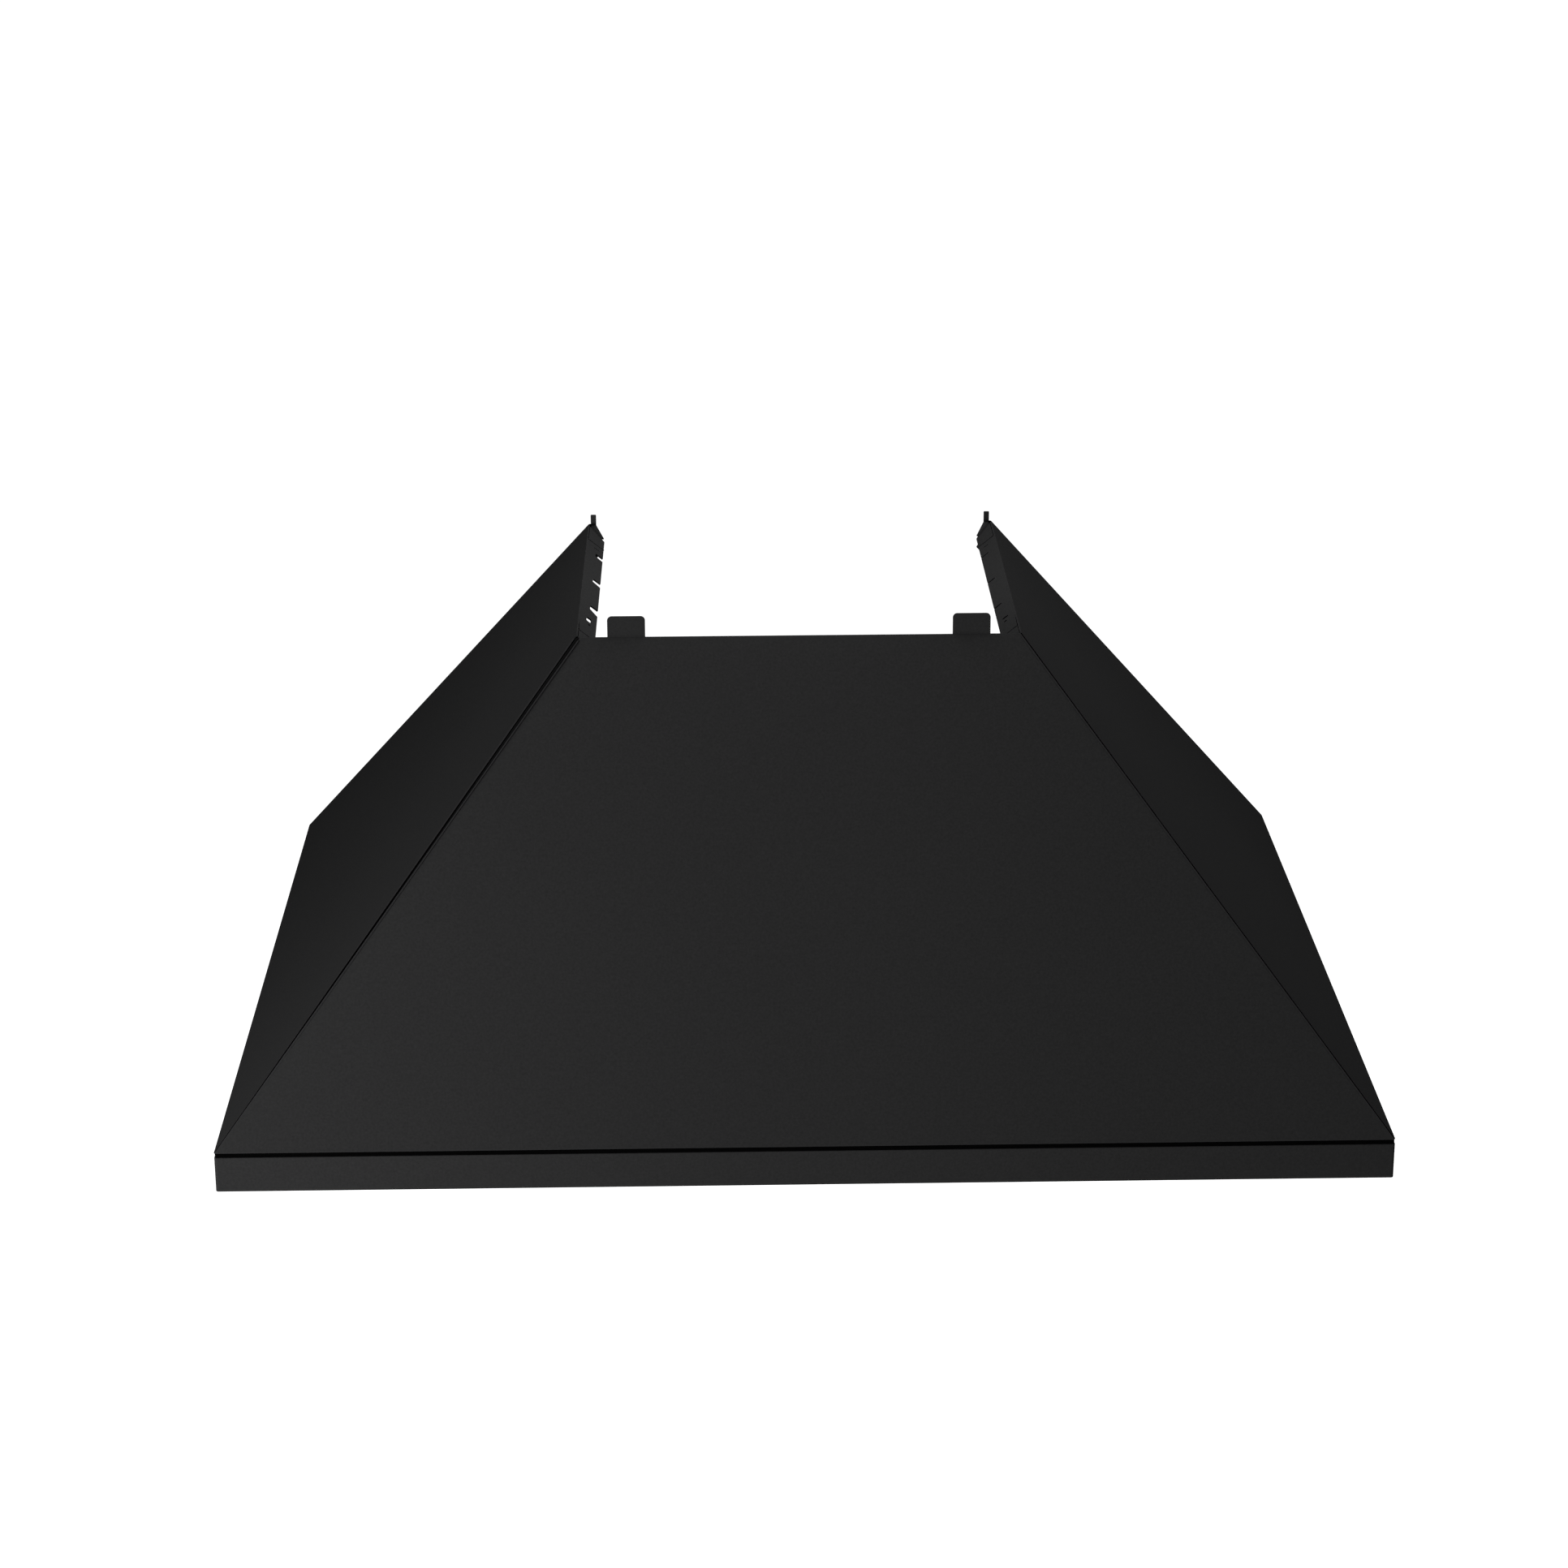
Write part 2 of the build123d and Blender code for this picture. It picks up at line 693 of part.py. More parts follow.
with BuildPart() as rim_ledge:
    extrude(ring_sketch(rim_sheet, ledge_width, Plane.XY.offset(ceiling_top)), amount=rim_sheet)
    extrude(ring_sketch(upstand_inset, ledge_width, Plane.XY.offset(ceiling_top)),
            amount=canopy_base - ceiling_top)
    flange_under = canopy_base - rim_sheet
    extrude(ring_sketch(ledge_width, ledge_width + rim_flange, Plane.XY.offset(flange_under)),
            amount=rim_sheet)
    with BuildSketch(Plane.XY.offset(flange_under)):
        with Locations(foot_screw_places):
            Circle(screw_hole_r)
    extrude(amount=rim_sheet, mode=Mode.SUBTRACT)
    with BuildSketch(Plane.XY.offset(ceiling_top)):
        with Locations(liner_screw_places):
            Circle(screw_hole_r)
    extrude(amount=rim_sheet, mode=Mode.SUBTRACT)
save(rim_ledge, "rim_ledge")

with BuildPart() as rim_gasket:
    extrude(ring_sketch(gasket_inset, gasket_inset + gasket_width, Plane.XY.offset(rim_height)),
            amount=shadow_gap)
save(rim_gasket, "rim_gasket")


# ------------------------------------------------------------------ screws, bolts and nuts
def screw_at(plane, shank_length):
    """A pan-head screw with its seat on the plane, its head out along +z and its shank behind."""
    with BuildSketch(plane) as head:
        Circle(screw_head_r)
    extrude(head.sketch, amount=screw_head_height)
    with BuildSketch(plane) as shank:
        Circle(screw_r)
    extrude(shank.sketch, amount=-shank_length)


with BuildPart() as rim_screws:
    for x, y in foot_screw_places:
        seat = Plane(origin=(x, y, canopy_base + sheet), z_dir=(0, 0, 1))
        screw_at(seat, sheet + rim_sheet)
    for x, y in liner_screw_places:
        seat = Plane(origin=(x, y, ceiling_under), z_dir=(0, 0, -1))
        screw_at(seat, liner_sheet + rim_sheet)
save(rim_screws, "rim_screws")


def seam_bolt_planes(side, end):
    """Planes at each bolt of a hip seam, on the outer face of the front or rear sheet's flange."""
    low_gap, high_gap = seam_gaps(side, end)
    flange_face = seam_plane(side, end, low_gap, high_gap, towards_side=False)
    middle = seam_flange_middle(flange_face)
    planes = []
    for x in spread(seam_bolts_per_hip, seam_flange_length):
        seat = flange_face.from_local_coords((middle + x, seam_flange_start + seam_flange / 2, sheet))
        planes.append(Plane(origin=seat, z_dir=flange_face.z_dir))
    return planes


hips = [(side, end) for end in (FRONT, REAR) for side in (LEFT, RIGHT)]

with BuildPart() as seam_bolts:
    for side, end in hips:
        for seat in seam_bolt_planes(side, end):
            screw_at(seat.offset(seat_gap), seam_bolt_length)
save(seam_bolts, "seam_bolts")

with BuildPart() as seam_nuts:
    for side, end in hips:
        low_gap, high_gap = seam_gaps(side, end)
        far_face = seam_plane(side, end, low_gap, high_gap, towards_side=True)
        for bolt in seam_bolt_planes(side, end):
            reach = abs(far_face.to_local_coords(bolt.origin).Z) + sheet
            seat = bolt.offset(-reach - seat_gap)
            with BuildSketch(seat) as hexagon:
                RegularPolygon(nut_across / 2, 6, major_radius=False)
                Circle(screw_r + nut_clearance, mode=Mode.SUBTRACT)
            extrude(hexagon.sketch, amount=-nut_height)
save(seam_nuts, "seam_nuts")


# ------------------------------------------------------------------ liner pan and its brackets
pan_inset = 2 * rim_sheet + liner_clearance
filter_top = ceiling_under - filter_seat_gap
filter_bottom = filter_top - filter_height
filter_front = filter_place_y - filter_depth / 2
filter_rear = filter_place_y + filter_depth / 2
filter_opening_width = filter_width - 2 * filter_side_overlap
filter_opening_depth = filter_depth - 2 * filter_end_overlap
filter_centres = {LEFT: -filter_spacing / 2, RIGHT: filter_spacing / 2}
button_places = list(zip(button_names, spread(len(button_names), button_pitch * len(button_names))))
lamp_centres = {side: side * (hood_width / 2 - lamp_inset) for side in (LEFT, RIGHT)}
magnet_places = [(centre + hand * magnet_spacing / 2, filter_front + filter_lip / 2)
                 for centre in filter_centres.values() for hand in (LEFT, RIGHT)]
plenum_foot_x = plenum_width / 2 + plenum_foot / 2
plenum_foot_y = plenum_depth / 2 + plenum_foot / 2
plenum_screw_places = [(side * plenum_foot_x, y) for side in (LEFT, RIGHT)
                       for y in spread(plenum_side_screws, plenum_depth)]
plenum_screw_places += [(x, end * plenum_foot_y) for end in (FRONT, REAR)
                        for x in spread(plenum_end_screws, plenum_width)]

with BuildPart() as liner_pan:
    with BuildSketch(Plane.XY.offset(ceiling_under)):
        Rectangle(hood_width - 2 * pan_inset, hood_depth - 2 * pan_inset)
        with Locations([(x, filter_place_y) for x in filter_centres.values()]):
            Rectangle(filter_opening_width, filter_opening_depth, mode=Mode.SUBTRACT)
        with Locations([(x, control_place_y) for x in lamp_centres.values()]):
            Circle(lamp_hole_r, mode=Mode.SUBTRACT)
        with Locations([(x, control_place_y) for _, x in button_places]):
            Circle(button_r + button_clearance, mode=Mode.SUBTRACT)
        with Locations(liner_screw_places + plenum_screw_places):
            Circle(screw_hole_r, mode=Mode.SUBTRACT)
        with Locations(magnet_places):
            Circle(magnet_r + hole_clearance, mode=Mode.SUBTRACT)
    extrude(amount=liner_sheet)
save(liner_pan, "liner_pan")

with BuildPart() as liner_skirt:
    extrude(ring_sketch(pan_inset, pan_inset + liner_sheet, Plane.XY.offset(skirt_foot)),
            amount=ceiling_under - skirt_foot)
save(liner_skirt, "liner_skirt")

pin_y = filter_rear + filter_ear_r / 2
pin_z = filter_top - filter_ear_r
hook_bottom = pin_z - filter_pin_r - hook_wall
hook_front = pin_y - filter_ear_r
hook_rear = pin_y + filter_ear_r + hook_wall


def filter_edges(side):
    """Inner (towards the hood's centre) and outer x of one filter's side walls."""
    centre = filter_centres[side]
    return centre - side * filter_width / 2, centre + side * filter_width / 2


with BuildPart() as filter_hooks:
    for side in (LEFT, RIGHT):
        inner, outer = filter_edges(side)
        for edge, away in ((inner, -side), (outer, side)):
            web_x = edge + away * (hook_gap + hook_sheet / 2)
            with BuildSketch(Plane.YZ.offset(web_x)):
                with Locations(((hook_front + hook_rear) / 2, (hook_bottom + ceiling_under) / 2)):
                    Rectangle(hook_rear - hook_front, ceiling_under - hook_bottom)
                with Locations((pin_y, pin_z)):
                    Circle(filter_pin_r + pin_clearance, mode=Mode.SUBTRACT)
                mouth = pin_y - hook_front + hook_wall
                with Locations((pin_y - mouth / 2, pin_z)):
                    Rectangle(mouth, 2 * (filter_pin_r + pin_clearance), mode=Mode.SUBTRACT)
            extrude(amount=hook_sheet / 2, both=True)
save(filter_hooks, "filter_hooks")

with BuildPart() as filter_magnets:
    with BuildSketch(Plane.XY.offset(filter_top + magnet_gap)):
        with Locations(magnet_places):
            Circle(magnet_r)
    extrude(amount=ceiling_top - filter_top - magnet_gap)
    with BuildSketch(Plane.XY.offset(ceiling_top)):
        with Locations(magnet_places):
            Circle(magnet_flange_r)
    extrude(amount=magnet_flange)
save(filter_magnets, "filter_magnets")


# ------------------------------------------------------------------ filters
bail_y = filter_front + bail_setback
bail_z = filter_bottom - lug_wall - bail_wire_r - hinge_clearance
lug_r = bail_wire_r + hinge_clearance + lug_wall


def build_filter_frame(side):
    """A channel frame, lipped top and bottom, with hinge pins and lugs for the bail."""
    centre = filter_centres[side]
    with BuildPart() as frame:
        with BuildSketch(Plane.XY.offset(filter_bottom)):
            with Locations((centre, filter_place_y)):
                Rectangle(filter_width, filter_depth)
        extrude(amount=filter_height)
        inner_height = filter_height - 2 * filter_sheet
        with BuildSketch(Plane.XY.offset(filter_bottom + filter_sheet)):
            with Locations((centre, filter_place_y)):
                Rectangle(filter_width - 2 * filter_sheet, filter_depth - 2 * filter_sheet)
        extrude(amount=inner_height, mode=Mode.SUBTRACT)
        with BuildSketch(Plane.XY.offset(filter_bottom)):
            with Locations((centre, filter_place_y)):
                Rectangle(filter_width - 2 * filter_lip, filter_depth - 2 * filter_lip)
        extrude(amount=filter_height, mode=Mode.SUBTRACT)
        inner, outer = filter_edges(side)
        for edge, away in ((inner, -side), (outer, side)):
            with BuildSketch(Plane.YZ.offset(edge)):
                with Locations((pin_y, pin_z)):
                    Circle(filter_ear_r)
                with Locations(((pin_y + filter_rear - filter_ear_r) / 2, pin_z)):
                    Rectangle(pin_y - filter_rear + filter_ear_r, 2 * filter_ear_r)
            extrude(amount=-away * filter_sheet)
            with BuildSketch(Plane.YZ.offset(edge)):
                with Locations((pin_y, pin_z)):
                    Circle(filter_pin_r)
            extrude(amount=away * filter_pin_length)
        for hand in (LEFT, RIGHT):
            with BuildSketch(Plane.YZ.offset(centre + hand * lug_spacing / 2)):
                with Locations((bail_y, bail_z)):
                    Circle(lug_r)
                with Locations((bail_y, bail_z + (filter_bottom - bail_z) / 2)):
                    Rectangle(2 * lug_r, filter_bottom - bail_z)
                with Locations((bail_y, bail_z)):
                    Circle(bail_wire_r + hinge_clearance, mode=Mode.SUBTRACT)
            extrude(amount=lug_sheet / 2, both=True)
    return frame


def build_baffles(side, count, open_up):
    """One row of baffle channels, open upward in the lower row and downward in the upper row."""
    centre = filter_centres[side]
    pitch = (filter_width - 2 * filter_sheet) / baffle_count
    length = filter_depth - 2 * (filter_sheet + baffle_end_gap)
    half = baffle_width / 2
    if open_up:
        foot, turn = filter_bottom + filter_sheet, 1
    else:
        foot, turn = filter_top - filter_sheet, -1
    with BuildPart() as baffles:
        for index in range(count):
            x = centre + (index - (count - 1) / 2) * pitch
            with BuildSketch(Plane.XZ.offset(-filter_place_y + length / 2)):
                with BuildLine():
                    channel = [
                        (-half, baffle_height),
                        (-half, 0),
                        (half, 0),
                        (half, baffle_height),
                        (half - baffle_sheet, baffle_height),
                        (half - baffle_sheet, baffle_sheet),
                        (-half + baffle_sheet, baffle_sheet),
                        (-half + baffle_sheet, baffle_height),
                    ]
                    Polyline(*[(x + across, foot + turn * up) for across, up in channel], close=True)
                make_face()
            extrude(amount=-length)
    return baffles


def build_bail(side):
    """The wire pull handle, folded flat under the filter."""
    centre = filter_centres[side]
    pin_in = lug_spacing / 2 - lug_sheet
    with BuildPart() as bail:
        with BuildLine():
            bail_points = [
                (centre - pin_in, bail_y, bail_z),
                (centre - bail_width / 2, bail_y, bail_z),
                (centre - bail_width / 2, bail_y + bail_reach, bail_z),
                (centre + bail_width / 2, bail_y + bail_reach, bail_z),
                (centre + bail_width / 2, bail_y, bail_z),
                (centre + pin_in, bail_y, bail_z),
            ]
            corners = [bail_end_bend_r, bail_bend_r, bail_bend_r, bail_end_bend_r]
            FilletPolyline(*bail_points, radius=corners)
        with BuildSketch(Plane(origin=bail_points[0], z_dir=(-1, 0, 0))):
            Circle(bail_wire_r)
        sweep()
    return bail


for side, hand in ((LEFT, "left"), (RIGHT, "right")):
    save(build_filter_frame(side), f"{hand}_filter_frame")
    save(build_baffles(side, baffle_count, open_up=True), f"{hand}_filter_lower_baffles")
    save(build_baffles(side, baffle_count - 1, open_up=False), f"{hand}_filter_upper_baffles")
    save(build_bail(side), f"{hand}_filter_handle")


# ------------------------------------------------------------------ controls
flange_under_z = ceiling_top + button_seat_gap
stem_top = flange_under_z + button_flange_height + button_stem_length
board_under = stem_top + button_travel + switch_slack + switch_height
housing_top = board_under + board_thickness + board_post_height + housing_wall

with BuildPart() as control_fascia:
    with BuildSketch(Plane.XY.offset(ceiling_under - fascia_thickness)):
        with Locations((0, control_place_y)):
            RectangleRounded(fascia_width, fascia_depth, fascia_corner)
        with Locations([(x, control_place_y) for _, x in button_places]):
            Circle(button_r + button_clearance, mode=Mode.SUBTRACT)
    extrude(amount=fascia_thickness)
    chamfer(control_fascia.faces().sort_by(Axis.Z)[0].outer_wire().edges(), fascia_edge)
save(control_fascia, "control_fascia")

for button_name, button_x in button_places:
    with BuildPart() as button:
        with BuildSketch(Plane.XY.offset(ceiling_under - button_drop)):
            with Locations((button_x, control_place_y)):
                Circle(button_r)
        extrude(amount=flange_under_z - (ceiling_under - button_drop))
        fillet(button.edges().group_by(Axis.Z)[0], button_edge_round)
        with BuildSketch(Plane.XY.offset(flange_under_z)):
            with Locations((button_x, control_place_y)):
                Circle(button_r + button_flange)
        extrude(amount=button_flange_height)
        with BuildSketch(Plane.XY.offset(flange_under_z + button_flange_height)):
            with Locations((button_x, control_place_y)):
                Circle(button_stem_r)
        extrude(amount=button_stem_length)
    save(button, f"{button_name}_button")

with BuildPart() as switch_board:
    with BuildSketch(Plane.XY.offset(board_under)):
        with Locations((0, control_place_y)):
            Rectangle(housing_width - 2 * (housing_wall + board_margin),
                      housing_depth - 2 * (housing_wall + board_margin))
    extrude(amount=board_thickness)
    with BuildSketch(Plane.XY.offset(board_under)):
        with Locations([(x, control_place_y) for _, x in button_places]):
            Rectangle(switch_size, switch_size)
    extrude(amount=-switch_height)
save(switch_board, "switch_board")

with BuildPart() as switch_housing:
    with BuildSketch(Plane.XY.offset(ceiling_top)):
        with Locations((0, control_place_y)):
            Rectangle(housing_width, housing_depth)
    extrude(amount=housing_top - ceiling_top)
    vertical = switch_housing.edges().filter_by(Axis.Z)
    fillet(vertical, housing_corner)
    with BuildSketch(Plane.XY.offset(ceiling_top)):
        with Locations((0, control_place_y)):
            Rectangle(housing_width - 2 * housing_wall, housing_depth - 2 * housing_wall)
    extrude(amount=housing_top - housing_wall - ceiling_top, mode=Mode.SUBTRACT)
    with BuildSketch(Plane.XY.offset(housing_top - housing_wall)):
        with Locations((0, control_place_y)):
            with GridLocations(housing_width - post_inset, housing_depth - post_inset, 2, 2):
                Circle(board_post_r)
    extrude(amount=-board_post_height)
save(switch_housing, "switch_housing")


# ------------------------------------------------------------------ lamps
neck_inner_r = lamp_neck_r - lamp_neck_wall
lens_under = ceiling_under - lamp_bezel_drop + lamp_lip
lens_r = neck_inner_r - lamp_lens_gap
can_inner_r = lamp_hole_r + lamp_can_wall
can_top = ceiling_top + lamp_can_height


def build_lamp_bezel(x):
    """The trim ring under the ceiling, with a lip that carries the lens."""
    bezel_under = ceiling_under - lamp_bezel_drop
    with BuildPart() as bezel:
        with BuildSketch(Plane(origin=(x, control_place_y, 0), x_dir=(1, 0, 0), z_dir=(0, -1, 0))):
            with BuildLine():
                Polyline(
                    (neck_inner_r - lamp_lip, bezel_under),
                    (lamp_bezel_r - lamp_lip, bezel_under),
                    (lamp_bezel_r, ceiling_under - lamp_bezel_edge),
                    (lamp_bezel_r, ceiling_under),
                    (lamp_neck_r, ceiling_under),
                    (lamp_neck_r, ceiling_top + lamp_neck_height),
                    (neck_inner_r, ceiling_top + lamp_neck_height),
                    (neck_inner_r, lens_under),
                    (neck_inner_r - lamp_lip, lens_under),
                    close=True,
                )
            make_face()
        revolve(axis=Axis((x, control_place_y, 0), (0, 0, 1)))
    return bezel


def build_lamp_lens(x):
    """The frosted lens, seated on the bezel's lip."""
    with BuildPart() as lens:
        with BuildSketch(Plane.XY.offset(lens_under)):
            with Locations((x, control_place_y)):
                Circle(lens_r)
        extrude(amount=lamp_lens_thickness)
    return lens


def build_lamp_housing(x):
    """The flanged can over the lamp hole, with a finned roof that sheds the lamp's heat."""
    with BuildPart() as housing:
        with BuildSketch(Plane(origin=(x, control_place_y, 0), x_dir=(1, 0, 0), z_dir=(0, -1, 0))):
            with BuildLine():
                Polyline(
                    (can_inner_r, ceiling_top),
                    (lamp_flange_r, ceiling_top),
                    (lamp_flange_r, ceiling_top + lamp_flange_thickness),
                    (can_inner_r + lamp_can_wall, ceiling_top + lamp_flange_thickness),
                    (can_inner_r + lamp_can_wall, can_top),
                    (0, can_top),
                    (0, can_top - lamp_roof),
                    (can_inner_r - lamp_lip, can_top - lamp_roof),
                    close=True,
                )
            make_face()
        revolve(axis=Axis((x, control_place_y, 0), (0, 0, 1)))
        fin_length = can_inner_r - lamp_fin_root_r
        with BuildSketch(Plane.XY.offset(can_top)):
            with Locations((x, control_place_y)):
                with PolarLocations(lamp_fin_root_r + fin_length / 2, lamp_fin_count):
                    Rectangle(fin_length, lamp_fin_thickness)
        extrude(amount=lamp_fin_height)
    return housing


for side, hand in ((LEFT, "left"), (RIGHT, "right")):
    save(build_lamp_bezel(lamp_centres[side]), f"{hand}_lamp_bezel")
    save(build_lamp_lens(lamp_centres[side]), f"{hand}_lamp_lens")
    save(build_lamp_housing(lamp_centres[side]), f"{hand}_lamp_housing")


# ------------------------------------------------------------------ plenum
collar_screw_angles = [math.pi / 4 + quarter * math.pi / 2 for quarter in range(4)]
collar_screw_places = [(collar_screw_pitch_r * math.cos(angle),
                        outlet_y + collar_screw_pitch_r * math.sin(angle)) for angle in collar_screw_angles]
hanger_places = [(side * rail_place_x, end * hanger_place_y) for side in (LEFT, RIGHT)
                 for end in (FRONT, REAR)]
rail_screw_places = [(side * rail_place_x, end * rail_screw_y) for side in (LEFT, RIGHT)
                     for end in (FRONT, REAR)]

wall_top = plenum_top - plenum_sheet

with BuildPart() as plenum_box:
    with BuildSketch(Plane.XY.offset(plenum_floor)):
        Rectangle(plenum_width, plenum_depth)
    extrude(amount=wall_top - plenum_floor)
    fillet(plenum_box.edges().filter_by(Axis.Z), plenum_corner)
    with BuildSketch(Plane.XY.offset(plenum_floor)) as inside:
        Rectangle(plenum_width - 2 * plenum_sheet, plenum_depth - 2 * plenum_sheet)
        fillet(inside.vertices(), plenum_corner - plenum_sheet)
    extrude(amount=wall_top - plenum_floor, mode=Mode.SUBTRACT)
    with BuildSketch(Plane.XY.offset(plenum_floor)) as foot:
        Rectangle(plenum_width + 2 * plenum_foot, plenum_depth + 2 * plenum_foot)
        fillet(foot.vertices(), plenum_corner)
        Rectangle(plenum_width - 2 * plenum_corner, plenum_depth - 2 * plenum_sheet, mode=Mode.SUBTRACT)
        Rectangle(plenum_width - 2 * plenum_sheet, plenum_depth - 2 * plenum_corner, mode=Mode.SUBTRACT)
        with Locations(plenum_screw_places):
            Circle(screw_hole_r, mode=Mode.SUBTRACT)
    extrude(amount=plenum_sheet)
save(plenum_box, "plenum_box")

with BuildPart() as plenum_roof:
    with BuildSketch(Plane.XY.offset(wall_top)) as roof:
        Rectangle(plenum_width, plenum_depth)
        fillet(roof.vertices(), plenum_corner)
        with Locations((0, outlet_y)):
            Circle(outlet_hole_r, mode=Mode.SUBTRACT)
        with Locations(collar_screw_places + rail_screw_places):
            Circle(screw_hole_r, mode=Mode.SUBTRACT)
        with Locations(hanger_places):
            Circle(hanger_hole_r, mode=Mode.SUBTRACT)
    extrude(amount=plenum_sheet)
save(plenum_roof, "plenum_roof")


# ------------------------------------------------------------------ scroll, wheel and motor
def scroll_point(angle, inset):
    """A point of the scroll's wall, as (y, z), on a spiral that widens steadily round the wheel."""
    share = (angle - scroll_start_angle) / (360.0 - scroll_start_angle)
    radius = scroll_start_r + share * (scroll_end_r - scroll_start_r) - inset
    turn = math.radians(angle)
    return (scroll_axis_y + radius * math.cos(turn), scroll_axis_z + radius * math.sin(turn))


def scroll_outline(inset, top):
    """The scroll's closed outline: a spiral in arcs, and a straight throat up to the outlet."""
    step = (360.0 - scroll_start_angle) / scroll_arcs
    spiral_start = scroll_point(scroll_start_angle, inset)
    throat_near = (spiral_start[0] + inset, top)
    throat_far = (scroll_axis_y + scroll_end_r - inset, top)
    with BuildSketch(Plane.YZ) as outline:
        with BuildLine():
            for arc in range(scroll_arcs):
                start = scroll_start_angle + arc * step
                ThreePointArc(scroll_point(start, inset), scroll_point(start + step / 2, inset),
                              scroll_point(start + step, inset))
            Line(scroll_point(360.0, inset), throat_far)
            Line(throat_far, throat_near)
            Line(throat_near, spiral_start)
        make_face()
    return outline.sketch


scroll_top = wall_top
bracket_angles = [90.0 + third * 120.0 for third in range(3)]
bracket_points = [(scroll_axis_y + bracket_pitch_r * math.cos(math.radians(angle)),
                   scroll_axis_z + bracket_pitch_r * math.sin(math.radians(angle)))
                  for angle in bracket_angles]

with BuildPart() as scroll_housing:
    extrude(scroll_outline(0, scroll_top), amount=scroll_width / 2, both=True)
    extrude(scroll_outline(scroll_sheet, scroll_top), amount=scroll_width / 2 - scroll_sheet, both=True,
            mode=Mode.SUBTRACT)
    with BuildSketch(Plane.YZ.offset(-scroll_width / 2)):
        with Locations((scroll_axis_y, scroll_axis_z)):
            Circle(inlet_hole_r)
    extrude(amount=scroll_width, mode=Mode.SUBTRACT)
    with BuildSketch(Plane.YZ.offset(scroll_width / 2)):
        with Locations(bracket_points):
            Circle(screw_hole_r)
    extrude(amount=-scroll_sheet, mode=Mode.SUBTRACT)
    with BuildSketch(Plane.XY.offset(scroll_top)):
        with Locations((0, outlet_y)):
            Rectangle(scroll_flange, scroll_flange)
            Rectangle(scroll_width - 2 * scroll_sheet, outlet_depth - 2 * scroll_sheet, mode=Mode.SUBTRACT)
        with Locations(collar_screw_places):
            Circle(screw_hole_r, mode=Mode.SUBTRACT)
    extrude(amount=-scroll_sheet)
save(scroll_housing, "scroll_housing")


def build_inlet_ring(side):
    """A bell mouth: a flange on the scroll's cheek that rolls in to a throat just inside the wheel."""
    cheek = scroll_width / 2
    throat_end = cheek - wheel_side_gap - inlet_lap
    mouth_r = inlet_throat_r + inlet_roll
    with BuildPart() as ring:
        with BuildSketch(Plane(origin=(0, scroll_axis_y, scroll_axis_z), x_dir=(side, 0, 0),
                               z_dir=(0, -side, 0))):
            with BuildLine():
                outer = [
                    (throat_end, inlet_throat_r + inlet_sheet),
                    (cheek - inlet_roll, inlet_throat_r + inlet_sheet),
                ]
                Polyline(*outer)
                Line(outer[-1], (cheek, mouth_r))
                Polyline((cheek, mouth_r), (cheek, inlet_flange_r), (cheek + inlet_sheet, inlet_flange_r),
                         (cheek + inlet_sheet, mouth_r))
                bend_x = cheek + inlet_sheet - inlet_roll
                bulge = inlet_roll * math.sqrt(0.5)
                ThreePointArc((cheek + inlet_sheet, mouth_r), (bend_x + bulge, mouth_r - bulge),
                              (bend_x, inlet_throat_r))
                Polyline((bend_x, inlet_throat_r), (throat_end, inlet_throat_r), outer[0])
            make_face()
        revolve(axis=Axis((0, scroll_axis_y, scroll_axis_z), (1, 0, 0)))
    return ring


for side, hand in ((LEFT, "left"), (RIGHT, "right")):
    save(build_inlet_ring(side), f"{hand}_inlet_ring")


wheel_plane = Plane(origin=(0, scroll_axis_y, scroll_axis_z), x_dir=(0, 1, 0), z_dir=(1, 0, 0))

with BuildSketch() as blade_profile:
    root_r, tip_r = wheel_eye_r + blade_inset, wheel_r - blade_inset
    lean = (tip_r - root_r) * blade_lean
    with BuildLine():
        root, root_back = (root_r, 0), (root_r, blade_sheet)
        tip, tip_back = (tip_r, lean), (tip_r, lean + blade_sheet)
        belly = ((root_r + tip_r) / 2, -lean * blade_belly)
        belly_back = ((root_r + tip_r) / 2, blade_sheet - lean * blade_belly)
        ThreePointArc(root, belly, tip)
        Line(tip, tip_back)
        ThreePointArc(tip_back, belly_back, root_back)
        Line(root_back, root)
    make_face()

with BuildPart() as impeller:
    with BuildSketch(wheel_plane.offset(-wheel_width / 2)):
        with PolarLocations(0, wheel_blades):
            add(blade_profile.sketch)
    extrude(amount=wheel_width)
    for ring_start in (-wheel_width / 2, wheel_width / 2 - wheel_ring):
        with BuildSketch(wheel_plane.offset(ring_start)):
            Circle(wheel_r)
            Circle(wheel_eye_r, mode=Mode.SUBTRACT)
        extrude(amount=wheel_ring)
    with BuildSketch(wheel_plane.offset(-wheel_disc / 2)):
        Circle(wheel_r)
        Circle(shaft_r, mode=Mode.SUBTRACT)
    extrude(amount=wheel_disc)
    with BuildSketch(wheel_plane.offset(-hub_left)):
        Circle(hub_r)
        Circle(shaft_r, mode=Mode.SUBTRACT)
    extrude(amount=hub_left + hub_right)
save(impeller, "impeller")

motor_front = hub_right + motor_gap
motor_back = motor_front + motor_length
motor_end = motor_back + motor_boss_length

with BuildPart() as motor_shaft:
    with BuildSketch(wheel_plane.offset(-hub_left - shaft_overhang)):
        Circle(shaft_r)
    extrude(amount=motor_end + hub_left + 2 * shaft_overhang)
    chamfer(motor_shaft.edges(), shaft_chamfer)
save(motor_shaft, "motor_shaft")

